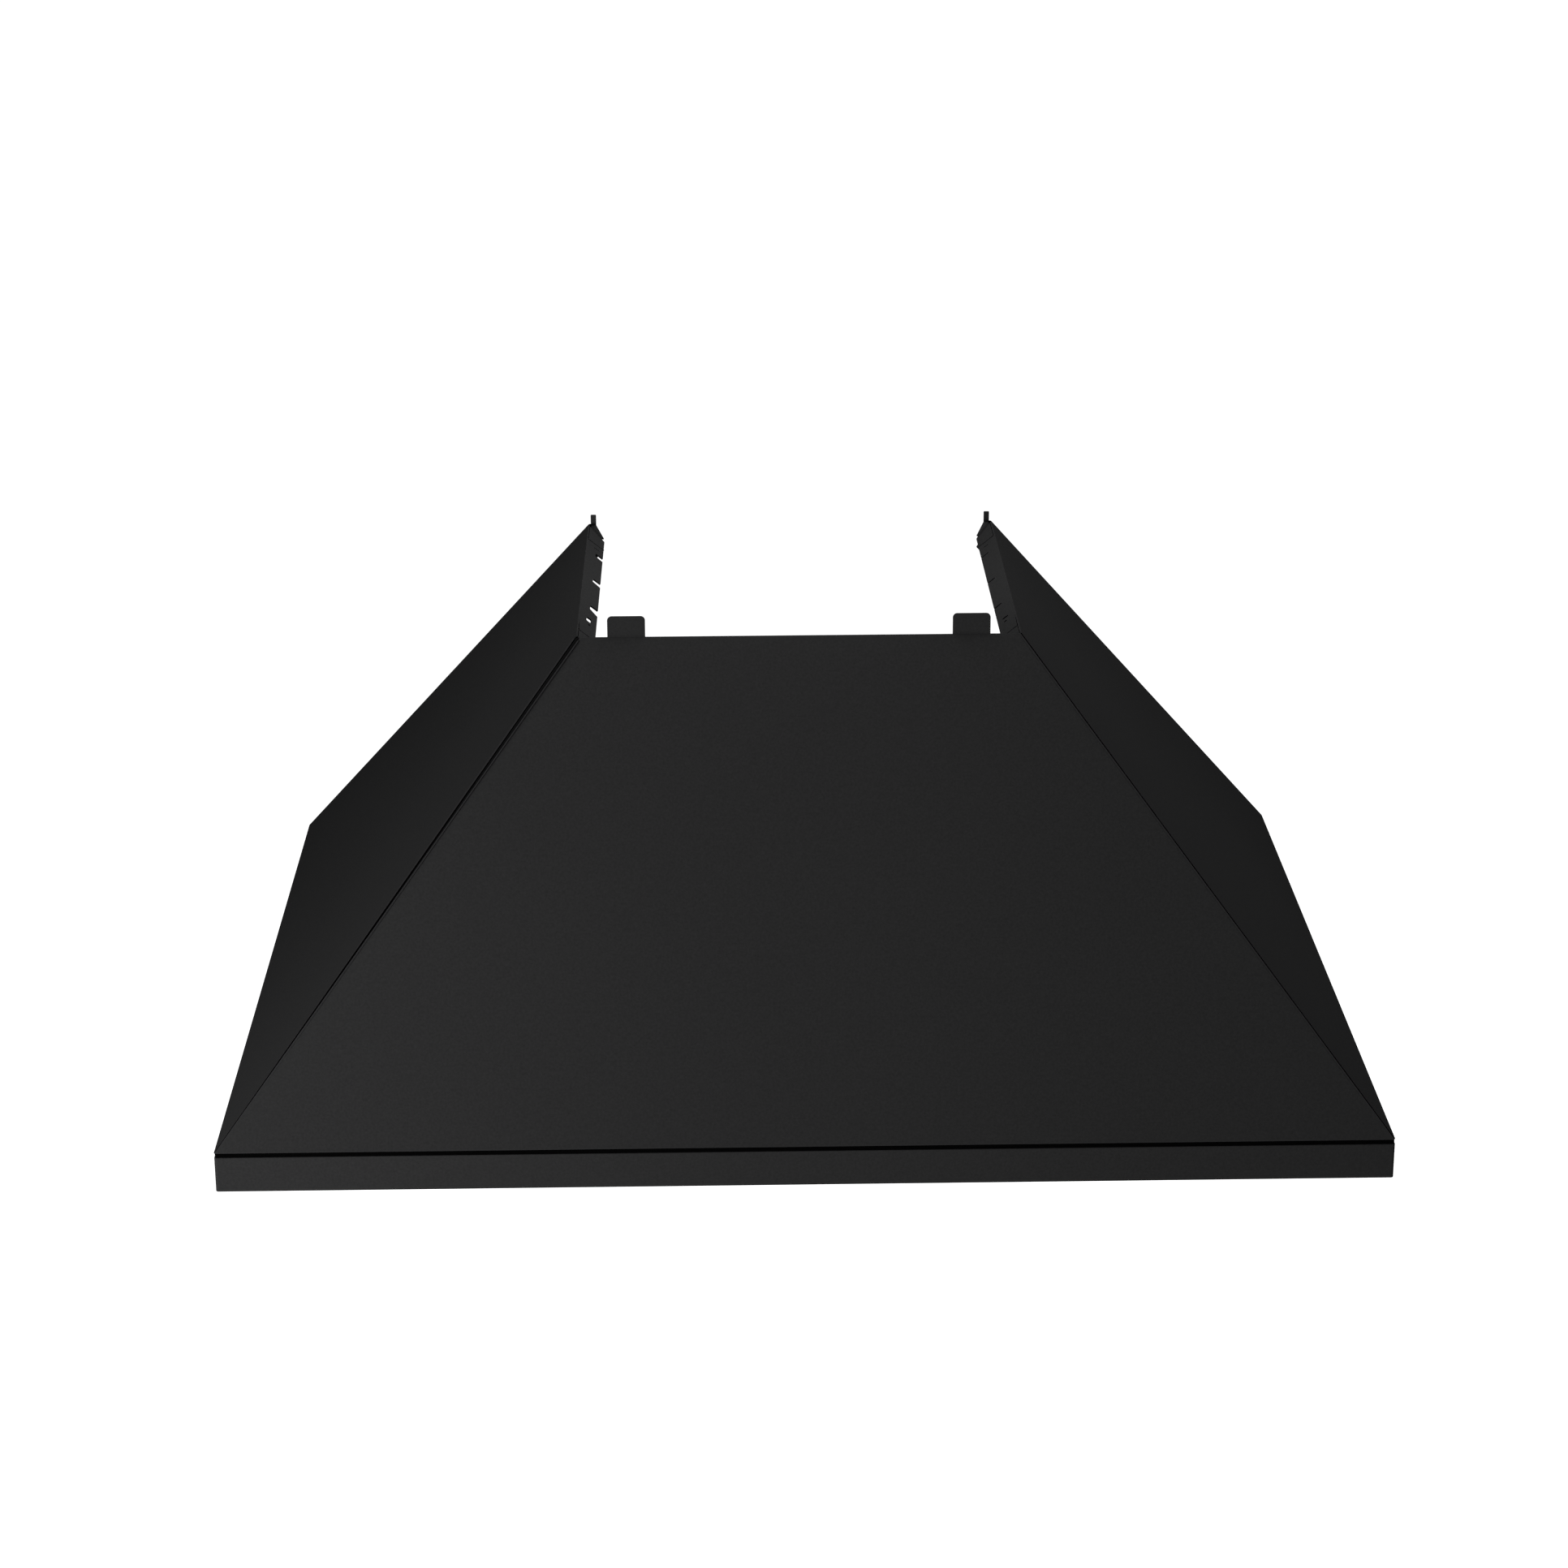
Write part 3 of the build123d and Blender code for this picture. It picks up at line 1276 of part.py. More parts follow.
with BuildPart() as fan_motor:
    with BuildSketch(wheel_plane.offset(motor_front)):
        Circle(motor_r)
    extrude(amount=motor_length)
    fillet(fan_motor.edges().group_by(Axis.X)[0], motor_edge_round)
    with BuildSketch(wheel_plane.offset(motor_back)):
        Circle(motor_boss_r)
    extrude(amount=motor_boss_length)
    with BuildSketch(wheel_plane.offset(motor_front)):
        Circle(shaft_r + shaft_clearance)
    extrude(amount=motor_end - motor_front, mode=Mode.SUBTRACT)
save(fan_motor, "fan_motor")

with BuildPart() as motor_bracket:
    with BuildSketch(wheel_plane.offset(motor_back)) as star:
        Circle(motor_r)
        for angle in bracket_angles:
            with PolarLocations(bracket_pitch_r / 2, 1, start_angle=angle):
                Rectangle(bracket_pitch_r, bracket_arm_width)
            with PolarLocations(bracket_pitch_r, 1, start_angle=angle):
                Circle(bracket_arm_width / 2)
                Circle(screw_hole_r, mode=Mode.SUBTRACT)
        Circle(motor_boss_r + bracket_fit, mode=Mode.SUBTRACT)
    extrude(amount=bracket_sheet)
save(motor_bracket, "motor_bracket")

with BuildPart() as motor_grommets:
    with BuildSketch(Plane.YZ.offset(scroll_width / 2)):
        with Locations(bracket_points):
            Circle(grommet_r)
            Circle(screw_hole_r, mode=Mode.SUBTRACT)
    extrude(amount=motor_back - scroll_width / 2)
save(motor_grommets, "motor_grommets")


# ------------------------------------------------------------------ outlet collar and backdraught damper
collar_base = plenum_top + collar_flange_sheet
collar_inner_r = collar_r - collar_wall
rod_z = plenum_top + rod_height
flap_r = collar_inner_r - flap_rim_gap
stop_top = rod_z - flap_sheet / 2 - flap_stop_gap
outlet_plane = Plane(origin=(0, outlet_y, 0))

with BuildPart() as duct_collar:
    with BuildSketch(Plane.XY.offset(plenum_top)):
        with Locations((0, outlet_y)):
            Circle(collar_flange_r)
            Circle(collar_inner_r, mode=Mode.SUBTRACT)
        with Locations(collar_screw_places):
            Circle(screw_hole_r, mode=Mode.SUBTRACT)
    extrude(amount=collar_flange_sheet)
    with BuildSketch(outlet_plane.offset(plenum_top)):
        Circle(collar_r)
        Circle(collar_inner_r, mode=Mode.SUBTRACT)
    extrude(amount=collar_flange_sheet + collar_height)
    with BuildSketch(outlet_plane.offset(stop_top - flap_stop_sheet)):
        Circle(collar_inner_r)
        Circle(collar_inner_r - flap_stop_width, mode=Mode.SUBTRACT)
    extrude(amount=flap_stop_sheet)
    with BuildSketch(Plane(origin=(0, outlet_y, rod_z), x_dir=(1, 0, 0), z_dir=(0, -1, 0))):
        Circle(rod_r + rod_clearance)
    extrude(amount=collar_r, both=True, mode=Mode.SUBTRACT)
save(duct_collar, "duct_collar")

with BuildPart() as damper_rod:
    with BuildSketch(Plane(origin=(0, outlet_y, rod_z), x_dir=(1, 0, 0), z_dir=(0, -1, 0))):
        Circle(rod_r)
    extrude(amount=collar_r - rod_setback, both=True)
save(damper_rod, "damper_rod")


def build_flap(side, knuckle_spacing):
    """Half a damper: a half-disc with two knuckles curled round the rod."""
    knuckle_r = rod_r + hinge_clearance + knuckle_wall
    knuckles = [-knuckle_spacing / 2, knuckle_spacing / 2]
    with BuildPart() as flap:
        with BuildSketch(outlet_plane.offset(rod_z - flap_sheet / 2)):
            Circle(flap_r)
            with Locations((-side * (flap_r - flap_edge), 0)):
                Rectangle(2 * flap_r, 2 * flap_r, mode=Mode.SUBTRACT)
            with Locations([(side * flap_edge / 2, y) for y in knuckles]):
                Rectangle(flap_edge + flap_sheet, knuckle_length)
        extrude(amount=flap_sheet)
        for y in knuckles:
            knuckle_plane = Plane(origin=(0, outlet_y + y, rod_z), x_dir=(1, 0, 0), z_dir=(0, -1, 0))
            with BuildSketch(knuckle_plane):
                Circle(knuckle_r)
            extrude(amount=knuckle_length / 2, both=True)
            with BuildSketch(knuckle_plane):
                Circle(rod_r + hinge_clearance)
            extrude(amount=knuckle_length, both=True, mode=Mode.SUBTRACT)
    return flap


save(build_flap(LEFT, left_knuckle_spacing), "left_damper_flap")
save(build_flap(RIGHT, right_knuckle_spacing), "right_damper_flap")


# ------------------------------------------------------------------ suspension rails
def build_rail(side):
    """An angle rail along the plenum's edge, drilled for two hangers."""
    centre_x = side * rail_place_x
    with BuildPart() as rail:
        with BuildSketch(Plane.XZ.offset(-rail_length / 2)):
            with BuildLine():
                outer = rail_leg / 2
                angle = [
                    (-outer, plenum_top),
                    (outer, plenum_top),
                    (outer, plenum_top + rail_upstand),
                    (outer - rail_sheet, plenum_top + rail_upstand),
                    (outer - rail_sheet, plenum_top + rail_sheet),
                    (-outer, plenum_top + rail_sheet),
                ]
                Polyline(*[(centre_x + side * x, z) for x, z in angle], close=True)
            make_face()
        extrude(amount=rail_length)
        with BuildSketch(Plane.XY.offset(plenum_top)):
            with Locations([place for place in hanger_places if place[0] * side > 0]):
                Circle(hanger_hole_r)
            with Locations([place for place in rail_screw_places if place[0] * side > 0]):
                Circle(screw_hole_r)
        extrude(amount=rail_sheet, mode=Mode.SUBTRACT)
    return rail


save(build_rail(LEFT), "left_suspension_rail")
save(build_rail(RIGHT), "right_suspension_rail")

with BuildPart() as blower_screws:
    for x, y in plenum_screw_places:
        seat = Plane(origin=(x, y, plenum_floor + plenum_sheet), z_dir=(0, 0, 1))
        screw_at(seat, plenum_sheet + liner_sheet)
    for x, y in collar_screw_places:
        seat = Plane(origin=(x, y, collar_base), z_dir=(0, 0, 1))
        screw_at(seat, collar_flange_sheet + plenum_sheet + scroll_sheet)
    for x, y in rail_screw_places:
        seat = Plane(origin=(x, y, plenum_top + rail_sheet), z_dir=(0, 0, 1))
        screw_at(seat, rail_sheet + plenum_sheet)
    for y, z in bracket_points:
        seat = Plane(origin=(motor_back + bracket_sheet, y, z), z_dir=(1, 0, 0))
        screw_at(seat, motor_back + bracket_sheet - scroll_width / 2 + scroll_sheet)
save(blower_screws, "blower_screws")


# ------------------------------------------------------------------ electrical parts on the plenum
box_plane = Plane(origin=(box_place_x, box_place_y, plenum_top))
box_rear = box_place_y + box_depth / 2

with BuildPart() as junction_box:
    with BuildSketch(box_plane):
        Rectangle(box_width, box_depth)
    extrude(amount=box_height)
    with BuildSketch(box_plane.offset(box_wall)):
        Rectangle(box_width - 2 * box_wall, box_depth - 2 * box_wall)
    extrude(amount=box_height, mode=Mode.SUBTRACT)
    gland_plane = Plane(origin=(box_place_x, box_rear, plenum_top + box_height / 2), z_dir=(0, 1, 0))
    with BuildSketch(gland_plane):
        Circle(gland_thread_r + hole_clearance)
    extrude(amount=-box_wall, mode=Mode.SUBTRACT)
save(junction_box, "junction_box")

with BuildPart() as junction_box_lid:
    with BuildSketch(box_plane.offset(box_height)):
        Rectangle(box_width + 2 * lid_overlap, box_depth + 2 * lid_overlap)
    extrude(amount=lid_thickness)
    with BuildSketch(box_plane.offset(box_height)):
        skirt_gap = lid_overlap - lid_thickness
        Rectangle(box_width + 2 * lid_overlap, box_depth + 2 * lid_overlap)
        Rectangle(box_width + 2 * skirt_gap, box_depth + 2 * skirt_gap, mode=Mode.SUBTRACT)
    extrude(amount=-lid_skirt)
save(junction_box_lid, "junction_box_lid")

with BuildPart() as cable_gland:
    with BuildSketch(gland_plane):
        RegularPolygon(gland_r, 6)
    extrude(amount=gland_nut_length)
    with BuildSketch(gland_plane.offset(gland_nut_length)):
        Circle(gland_r - gland_cap_inset)
    extrude(amount=gland_length - gland_nut_length)
    fillet(cable_gland.edges().group_by(Axis.Y)[-1], gland_cap_inset)
    with BuildSketch(gland_plane):
        Circle(gland_thread_r)
    extrude(amount=-box_wall - gland_nut_length)
    with BuildSketch(gland_plane.offset(gland_length)):
        Circle(gland_bore_r)
    extrude(amount=-gland_length - box_wall - gland_nut_length, mode=Mode.SUBTRACT)
save(cable_gland, "cable_gland")

with BuildPart() as terminal_block:
    with BuildSketch(box_plane.offset(box_wall)):
        Rectangle(terminal_width, terminal_depth)
    extrude(amount=terminal_height)
    with BuildSketch(box_plane.offset(box_wall + terminal_height)):
        with GridLocations(terminal_width / terminal_poles, 0, terminal_poles, 1):
            Circle(terminal_hole_r)
    extrude(amount=-terminal_height / 2, mode=Mode.SUBTRACT)
save(terminal_block, "terminal_block")

capacitor_z = plenum_top + clip_sheet + capacitor_r
capacitor_plane = Plane(origin=(-box_place_x - capacitor_length / 2, box_place_y, capacitor_z),
                        x_dir=(0, 1, 0), z_dir=(1, 0, 0))

with BuildPart() as motor_capacitor:
    with BuildSketch(capacitor_plane):
        Circle(capacitor_r)
    extrude(amount=capacitor_length)
    fillet(motor_capacitor.edges().group_by(Axis.X)[-1], capacitor_edge_round)
    fillet(motor_capacitor.edges().group_by(Axis.X)[0], capacitor_edge_round)
save(motor_capacitor, "motor_capacitor")

with BuildPart() as capacitor_clip:
    clip_plane = capacitor_plane.offset((capacitor_length - clip_width) / 2)
    clip_r = capacitor_r + clip_fit + clip_sheet
    with BuildSketch(clip_plane):
        Circle(clip_r)
        with Locations((0, -(capacitor_r + clip_sheet / 2))):
            Rectangle(2 * (clip_r + clip_foot), clip_sheet)
        Circle(capacitor_r + clip_fit, mode=Mode.SUBTRACT)
        with Locations((0, plenum_top - capacitor_z - clip_sheet / 2)):
            Rectangle(2 * (clip_r + clip_foot), clip_sheet, mode=Mode.SUBTRACT)
    extrude(amount=clip_width)
save(capacitor_clip, "capacitor_clip")
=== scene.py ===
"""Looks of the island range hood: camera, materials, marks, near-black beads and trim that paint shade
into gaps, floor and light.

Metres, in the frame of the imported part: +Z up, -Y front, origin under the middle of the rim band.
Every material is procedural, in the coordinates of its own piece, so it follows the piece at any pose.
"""

import json
import math

import bpy
from mathutils import Matrix, Vector


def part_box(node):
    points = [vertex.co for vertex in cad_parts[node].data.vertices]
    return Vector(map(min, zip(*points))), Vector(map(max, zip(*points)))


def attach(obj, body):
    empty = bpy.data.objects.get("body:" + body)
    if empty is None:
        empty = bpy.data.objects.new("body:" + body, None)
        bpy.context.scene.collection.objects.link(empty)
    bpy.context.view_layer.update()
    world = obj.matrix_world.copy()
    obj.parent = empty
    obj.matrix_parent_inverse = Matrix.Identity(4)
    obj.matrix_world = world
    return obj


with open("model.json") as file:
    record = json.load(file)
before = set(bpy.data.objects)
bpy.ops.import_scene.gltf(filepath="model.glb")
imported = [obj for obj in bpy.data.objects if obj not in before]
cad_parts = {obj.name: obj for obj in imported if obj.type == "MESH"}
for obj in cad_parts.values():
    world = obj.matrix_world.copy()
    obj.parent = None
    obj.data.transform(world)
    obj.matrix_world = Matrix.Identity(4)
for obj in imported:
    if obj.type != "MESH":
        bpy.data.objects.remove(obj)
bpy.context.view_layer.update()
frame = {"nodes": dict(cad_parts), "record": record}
nodes = frame["nodes"]
node_slot = {entry["node"]: entry["material_slot"] for entry in frame["record"]["subparts"]}

MM = 0.001


def placed(name, data):
    """Link a new object into the scene."""
    made = bpy.data.objects.new(name, data)
    bpy.context.scene.collection.objects.link(made)
    return made


# ------------------------------------------------------------------ camera
CAMERA_PLACE = (-0.05396, -2.46221, 1.04603)
CAMERA_PITCH = math.radians(19.6577)
CAMERA_YAW = math.radians(-1.0756)
CAMERA_ROLL = math.radians(-0.2229)
LENS_MM = 84.63
SENSOR_MM = 36.0

camera_data = bpy.data.cameras.new("camera")
camera_data.lens = LENS_MM
camera_data.sensor_width = SENSOR_MM
camera_data.clip_start = 0.05
camera_data.clip_end = 200.0
camera = placed("camera", camera_data)
aim = Matrix.Rotation(CAMERA_YAW, 4, "Z") @ Matrix.Rotation(math.pi / 2 - CAMERA_PITCH, 4, "X")
camera.matrix_world = Matrix.Translation(CAMERA_PLACE) @ aim @ Matrix.Rotation(CAMERA_ROLL, 4, "Z")
bpy.context.scene.camera = camera


# ------------------------------------------------------------------ material tools
EDGE_TURN = 0.90            # cosine of the turn at which an edge counts in full
EDGE_SAMPLES = 6
GAP_SHELTER = (0.72, 0.97)  # share of open sky at which the painted shade in a gap is darkest, and at which the gap is open
GAP_SAMPLES = 12


class Surface:
    """One procedural material, built round a Principled shader in the part's own coordinates."""

    def __init__(self, name, color, roughness, metallic=0.0, specular=0.5):
        self.material = bpy.data.materials.new(name)
        self.material.use_nodes = True
        self.tree = self.material.node_tree
        self.shader = self.tree.nodes["Principled BSDF"]
        self.set(self.shader, "Base Color", (*color, 1.0))
        self.set(self.shader, "Roughness", roughness)
        self.set(self.shader, "Metallic", metallic)
        self.set(self.shader, "Specular IOR Level", specular)
        self.normal = None
        self.place = self.tree.nodes.new("ShaderNodeTexCoord").outputs["Object"]

    def node(self, kind, **settings):
        """Add a node and set its options."""
        made = self.tree.nodes.new(kind)
        for key, value in settings.items():
            setattr(made, key, value)
        return made

    def set(self, node, socket, value):
        """Set a socket, from another node's output or to a plain value."""
        if isinstance(value, bpy.types.NodeSocket):
            self.tree.links.new(value, node.inputs[socket])
        else:
            node.inputs[socket].default_value = value

    def stretched(self, scale):
        """The part's coordinates, stretched by a factor on each axis."""
        mapping = self.node("ShaderNodeMapping")
        self.set(mapping, "Vector", self.place)
        self.set(mapping, "Scale", scale)
        return mapping.outputs["Vector"]

    def noise(self, scale, detail=3.0, place=None):
        """Smooth noise with that many features to the metre, from 0 to 1."""
        texture = self.node("ShaderNodeTexNoise")
        self.set(texture, "Vector", place or self.place)
        self.set(texture, "Scale", scale)
        self.set(texture, "Detail", detail)
        return texture.outputs["Fac"]

    def cells(self, scale, feature="F1"):
        """Cell noise: the distance to each cell's point, or to its edge."""
        texture = self.node("ShaderNodeTexVoronoi", feature=feature)
        self.set(texture, "Vector", self.place)
        self.set(texture, "Scale", scale)
        return texture.outputs["Distance"]

    def cell_tone(self, scale, place=None):
        """One random tone for each cell."""
        texture = self.node("ShaderNodeTexVoronoi")
        self.set(texture, "Vector", place or self.place)
        self.set(texture, "Scale", scale)
        split = self.node("ShaderNodeSeparateColor")
        self.set(split, "Color", texture.outputs["Color"])
        return split.outputs["Red"]

    def ranged(self, value, low, high, start=0.0, end=1.0):
        """Map a value from one range to another, clamped."""
        mapped = self.node("ShaderNodeMapRange")
        self.set(mapped, "Value", value)
        self.set(mapped, "From Min", start)
        self.set(mapped, "From Max", end)
        self.set(mapped, "To Min", low)
        self.set(mapped, "To Max", high)
        return mapped.outputs["Result"]

    def edges(self, radius):
        """1 along convex and concave edges within the radius, 0 on the flat."""
        rounded = self.node("ShaderNodeBevel", samples=EDGE_SAMPLES)
        self.set(rounded, "Radius", radius)
        flat = self.node("ShaderNodeNewGeometry")
        turn = self.node("ShaderNodeVectorMath", operation="DOT_PRODUCT")
        self.tree.links.new(rounded.outputs["Normal"], turn.inputs[0])
        self.tree.links.new(flat.outputs["Normal"], turn.inputs[1])
        return self.ranged(turn.outputs["Value"], 1.0, 0.0, EDGE_TURN, 1.0)

    def gap_shade_mask(self, reach):
        """A mask for painted shade: 0 deep in narrow gaps, where something stands within the reach, and
        1 in the open.
        """
        shelter = self.node("ShaderNodeAmbientOcclusion", samples=GAP_SAMPLES)
        self.set(shelter, "Distance", reach)
        return self.ranged(shelter.outputs["AO"], 0.0, 1.0, *GAP_SHELTER)

    def pass_color(self, socket):
        """Give another socket the base colour as it stands, linked or plain."""
        base = self.shader.inputs["Base Color"]
        if base.is_linked:
            self.tree.links.new(base.links[0].from_socket, socket)
        else:
            socket.default_value = base.default_value[:len(socket.default_value)]

    def shade(self, value, low, high):
        """Vary the base colour: multiply it by low where value is 0 and by high where it is 1."""
        strength = self.ranged(value, low, high)
        mix = self.node("ShaderNodeVectorMath", operation="SCALE")
        self.pass_color(mix.inputs[0])
        self.set(mix, "Scale", strength)
        self.set(self.shader, "Base Color", mix.outputs["Vector"])

    def blend(self, value, color):
        """Blend the base colour towards another where value nears 1."""
        mix = self.node("ShaderNodeMix", data_type="RGBA")
        self.set(mix, "Factor", value)
        own, other = [socket for socket in mix.inputs if socket.type == "RGBA"]
        self.pass_color(own)
        other.default_value = (*color, 1.0)
        out = [socket for socket in mix.outputs if socket.type == "RGBA"][0]
        self.set(self.shader, "Base Color", out)

    def gloss(self, value, low, high):
        """Vary the roughness with a value."""
        self.set(self.shader, "Roughness", self.ranged(value, low, high))

    def relief(self, value, depth, strength=1.0):
        """Raise the surface by depth (metres) where value is 1."""
        bump = self.node("ShaderNodeBump")
        self.set(bump, "Height", value)
        self.set(bump, "Distance", depth)
        self.set(bump, "Strength", strength)
        if self.normal:
            self.set(bump, "Normal", self.normal)
        self.normal = bump.outputs["Normal"]
        self.set(self.shader, "Normal", self.normal)


# ------------------------------------------------------------------ materials
EDGE_HIGHLIGHT_WIDTH = 0.5 * MM      # width of the painted highlight along an edge
GAP_SHADE_REACH = 4.0 * MM      # width of the gaps that get painted shade
GAP_SHADE_TONE = 0.08           # share of the paint's tone that is left deep in such a gap, as painted shade
SCRATCH_LENGTH = 60.0       # how many times longer than wide a brushing scratch is
ACROSS, ALONG = 0, 1        # axes of the brushing: side to side, or front to back

surfaces = {}


def painted(name, color, roughness, specular, grain, edge_highlight_tone):
    """Powder coat: an even dark tone, orange-peel relief, a painted highlight along the edges and
    painted shade in the gaps.
    """
    paint = Surface(name, color, roughness, specular=specular)
    paint.shade(paint.noise(5.0, 2.0), 0.96, 1.04)
    paint.shade(paint.noise(grain, 3.0), 0.76, 1.24)
    # painted highlight: the paint turns paler along every edge
    paint.blend(paint.edges(EDGE_HIGHLIGHT_WIDTH), edge_highlight_tone)
    # painted shade: the paint turns nearly black deep in narrow gaps
    paint.shade(paint.gap_shade_mask(GAP_SHADE_REACH), GAP_SHADE_TONE, 1.0)
    paint.gloss(paint.noise(14.0), roughness - 0.05, roughness + 0.06)
    paint.relief(paint.noise(grain, 3.0), 0.10 * MM, 0.45)
    surfaces[name] = paint


def brushed(name, color, roughness, grain_axis, fine=900.0):
    """Brushed stainless: long fine scratches along one axis, and faint cloudiness."""
    metal = Surface(name, color, roughness, metallic=1.0)
    scale = [fine, fine, fine]
    scale[grain_axis] = fine / SCRATCH_LENGTH
    scratches = metal.noise(1.0, 4.0, metal.stretched(scale))
    metal.shade(metal.noise(9.0), 0.93, 1.03)
    metal.shade(scratches, 0.90, 1.06)
    metal.gloss(scratches, roughness - 0.09, roughness + 0.12)
    metal.relief(scratches, 0.02 * MM, 0.5)
    surfaces[name] = metal


def galvanised(name, color, roughness):
    """Hot-dip galvanised sheet: crystal spangles of slightly different tone and gloss."""
    metal = Surface(name, color, roughness, metallic=1.0)
    spangle = metal.cell_tone(95.0)
    metal.shade(spangle, 0.86, 1.06)
    metal.shade(metal.noise(22.0), 0.95, 1.03)
    metal.gloss(spangle, roughness - 0.08, roughness + 0.12)
    metal.relief(metal.noise(300.0), 0.02 * MM, 0.4)
    surfaces[name] = metal


def moulded(name, color, roughness, grain=1500.0, depth=0.03 * MM):
    """Moulded plastic, rubber or enamel: a fine even grain with slight gloss changes."""
    plastic = Surface(name, color, roughness)
    plastic.shade(plastic.noise(30.0), 0.93, 1.06)
    plastic.gloss(plastic.noise(80.0), roughness - 0.06, roughness + 0.08)
    plastic.relief(plastic.noise(grain, 2.0), depth, 0.6)
    surfaces[name] = plastic


def polished(name, color, roughness):
    """Plated or ground metal with faint smudges and hairline marks."""
    metal = Surface(name, color, roughness, metallic=1.0)
    metal.shade(metal.noise(60.0), 0.95, 1.03)
    metal.gloss(metal.noise(45.0, 5.0), roughness * 0.6, roughness * 1.7)
    metal.relief(metal.noise(1.0, 3.0, metal.stretched((1200.0, 60.0, 1200.0))), 0.01 * MM, 0.4)
    surfaces[name] = metal


# the last colour is the painted highlight along the canopy's edges
painted("canopy_paint", (0.0205, 0.0205, 0.0207), 0.62, 0.0, 650.0, (0.027, 0.027, 0.028))
brushed("stainless", (0.43, 0.43, 0.42), 0.34, ACROSS)
galvanised("galvanised", (0.55, 0.57, 0.58), 0.40)
polished("zinc_fastener", (0.62, 0.62, 0.60), 0.30)
polished("bright_trim", (0.50, 0.50, 0.51), 0.12)
polished("magnet_nickel", (0.66, 0.64, 0.60), 0.22)
polished("shaft_steel", (0.56, 0.56, 0.56), 0.20)
brushed("damper_sheet", (0.70, 0.70, 0.71), 0.38, ALONG, 700.0)
moulded("fascia_gloss", (0.012, 0.012, 0.013), 0.14, 900.0, 0.004 * MM)
moulded("button_plastic", (0.075, 0.075, 0.078), 0.42)
moulded("black_plastic", (0.020, 0.020, 0.021), 0.50)
moulded("wheel_plastic", (0.035, 0.035, 0.038), 0.44)
moulded("motor_enamel", (0.030, 0.030, 0.032), 0.30, 500.0, 0.05 * MM)
moulded("grommet_rubber", (0.018, 0.018, 0.018), 0.70)
moulded("terminal_white", (0.66, 0.64, 0.58), 0.45)
moulded("capacitor_case", (0.62, 0.62, 0.60), 0.38)

foam = Surface("foam", (0.006, 0.006, 0.006), 0.95, specular=0.1)
foam.shade(foam.cells(1400.0), 0.6, 1.3)
foam.relief(foam.cells(1400.0), 0.3 * MM, 0.8)
surfaces["foam"] = foam

heat_sink = Surface("heat_sink", (0.55, 0.56, 0.58), 0.46, metallic=1.0)
heat_sink.shade(heat_sink.noise(40.0), 0.90, 1.05)
heat_sink.gloss(heat_sink.noise(70.0), 0.38, 0.56)
heat_sink.relief(heat_sink.noise(900.0, 4.0), 0.08 * MM, 0.6)
surfaces["heat_sink"] = heat_sink

frosted = Surface("frosted_lens", (0.90, 0.90, 0.87), 0.42)
frosted.shade(frosted.cells(420.0), 0.94, 1.0)
frosted.set(frosted.shader, "Transmission Weight", 0.45)
frosted.relief(frosted.cells(420.0), 0.15 * MM, 0.6)
surfaces["frosted_lens"] = frosted

board = Surface("board_green", (0.030, 0.120, 0.060), 0.32)
board.shade(board.cell_tone(260.0, board.stretched((1.0, 3.0, 1.0))), 0.75, 1.15)
board.relief(board.cells(260.0, "DISTANCE_TO_EDGE"), 0.05 * MM, 0.5)
surfaces["board_green"] = board

for name, piece in nodes.items():
    surface = surfaces[node_slot[name]].material
    if not piece.material_slots:
        piece.data.materials.append(surface)
    for material_slot in piece.material_slots:
        material_slot.material = surface

# ------------------------------------------------------------------ marks on the control fascia
MARK_SIZE = 6.0 * MM
MARK_SPACE = 12.4 * MM      # from a button's middle to the middle of its mark
MARK_LINE = 0.9 * MM        # width of a mark's lines
MARK_RISE = 0.12 * MM       # how far a mark stands out of the fascia
MARK_SINK = 0.05 * MM       # and how far it goes in
RING_STEPS = 40
POWER_RING = 0.36 * MARK_SIZE                       # radius
POWER_GAP = math.radians(60)                        # open part of the ring, at its top
POWER_BAR = (0.10 * MARK_SIZE, 0.52 * MARK_SIZE)    # from the middle to its near and far end
BULB_RING = 0.20 * MARK_SIZE                        # radius
BULB_RAY = (0.34 * MARK_SIZE, 0.50 * MARK_SIZE)     # from the middle to its near and far end
BULB_RAYS = 8
RAY_LINE = 0.8 * MARK_LINE
UPWARD = math.pi / 2        # the direction of a mark's top in its own plane

ink = Surface("mark_ink", (0.62, 0.62, 0.60), 0.55)
ink.shade(ink.noise(900.0), 0.92, 1.04)
ink.gloss(ink.noise(500.0), 0.48, 0.62)


def flat_piece(name, outlines):
    """A thin plate from closed outlines in the mark's own plane, sunk slightly into the fascia."""
    vertices, faces = [], []
    for outline in outlines:
        start, count = len(vertices), len(outline)
        vertices += [(x, y, z) for z in (-MARK_SINK, MARK_RISE) for x, y in outline]
        faces.append([start + count + i for i in range(count)])
        faces.append([start + i for i in reversed(range(count))])
        for i in range(count):
            after = (i + 1) % count
            faces.append([start + i, start + after, start + count + after, start + count + i])
    mesh = bpy.data.meshes.new(name)
    mesh.from_pydata(vertices, [], faces)
    return mesh


def band(radius, width, first, last):
    """Outlines of the four-sided pieces along an arc, from the first angle to the last."""
    pieces = []
    for step in range(RING_STEPS):
        low = first + (last - first) * step / RING_STEPS
        high = first + (last - first) * (step + 1) / RING_STEPS
        pieces.append([(r * math.cos(a), r * math.sin(a)) for r, a in (
            (radius - width / 2, low), (radius + width / 2, low),
            (radius + width / 2, high), (radius - width / 2, high))])
    return pieces


def bar(angle, start, end, width):
    """The outline of a straight bar that points away from the middle."""
    along = Vector((math.cos(angle), math.sin(angle)))
    across = Vector((-along.y, along.x)) * (width / 2)
    near, far = along * start, along * end
    return [tuple(near - across), tuple(far - across), tuple(far + across), tuple(near + across)]


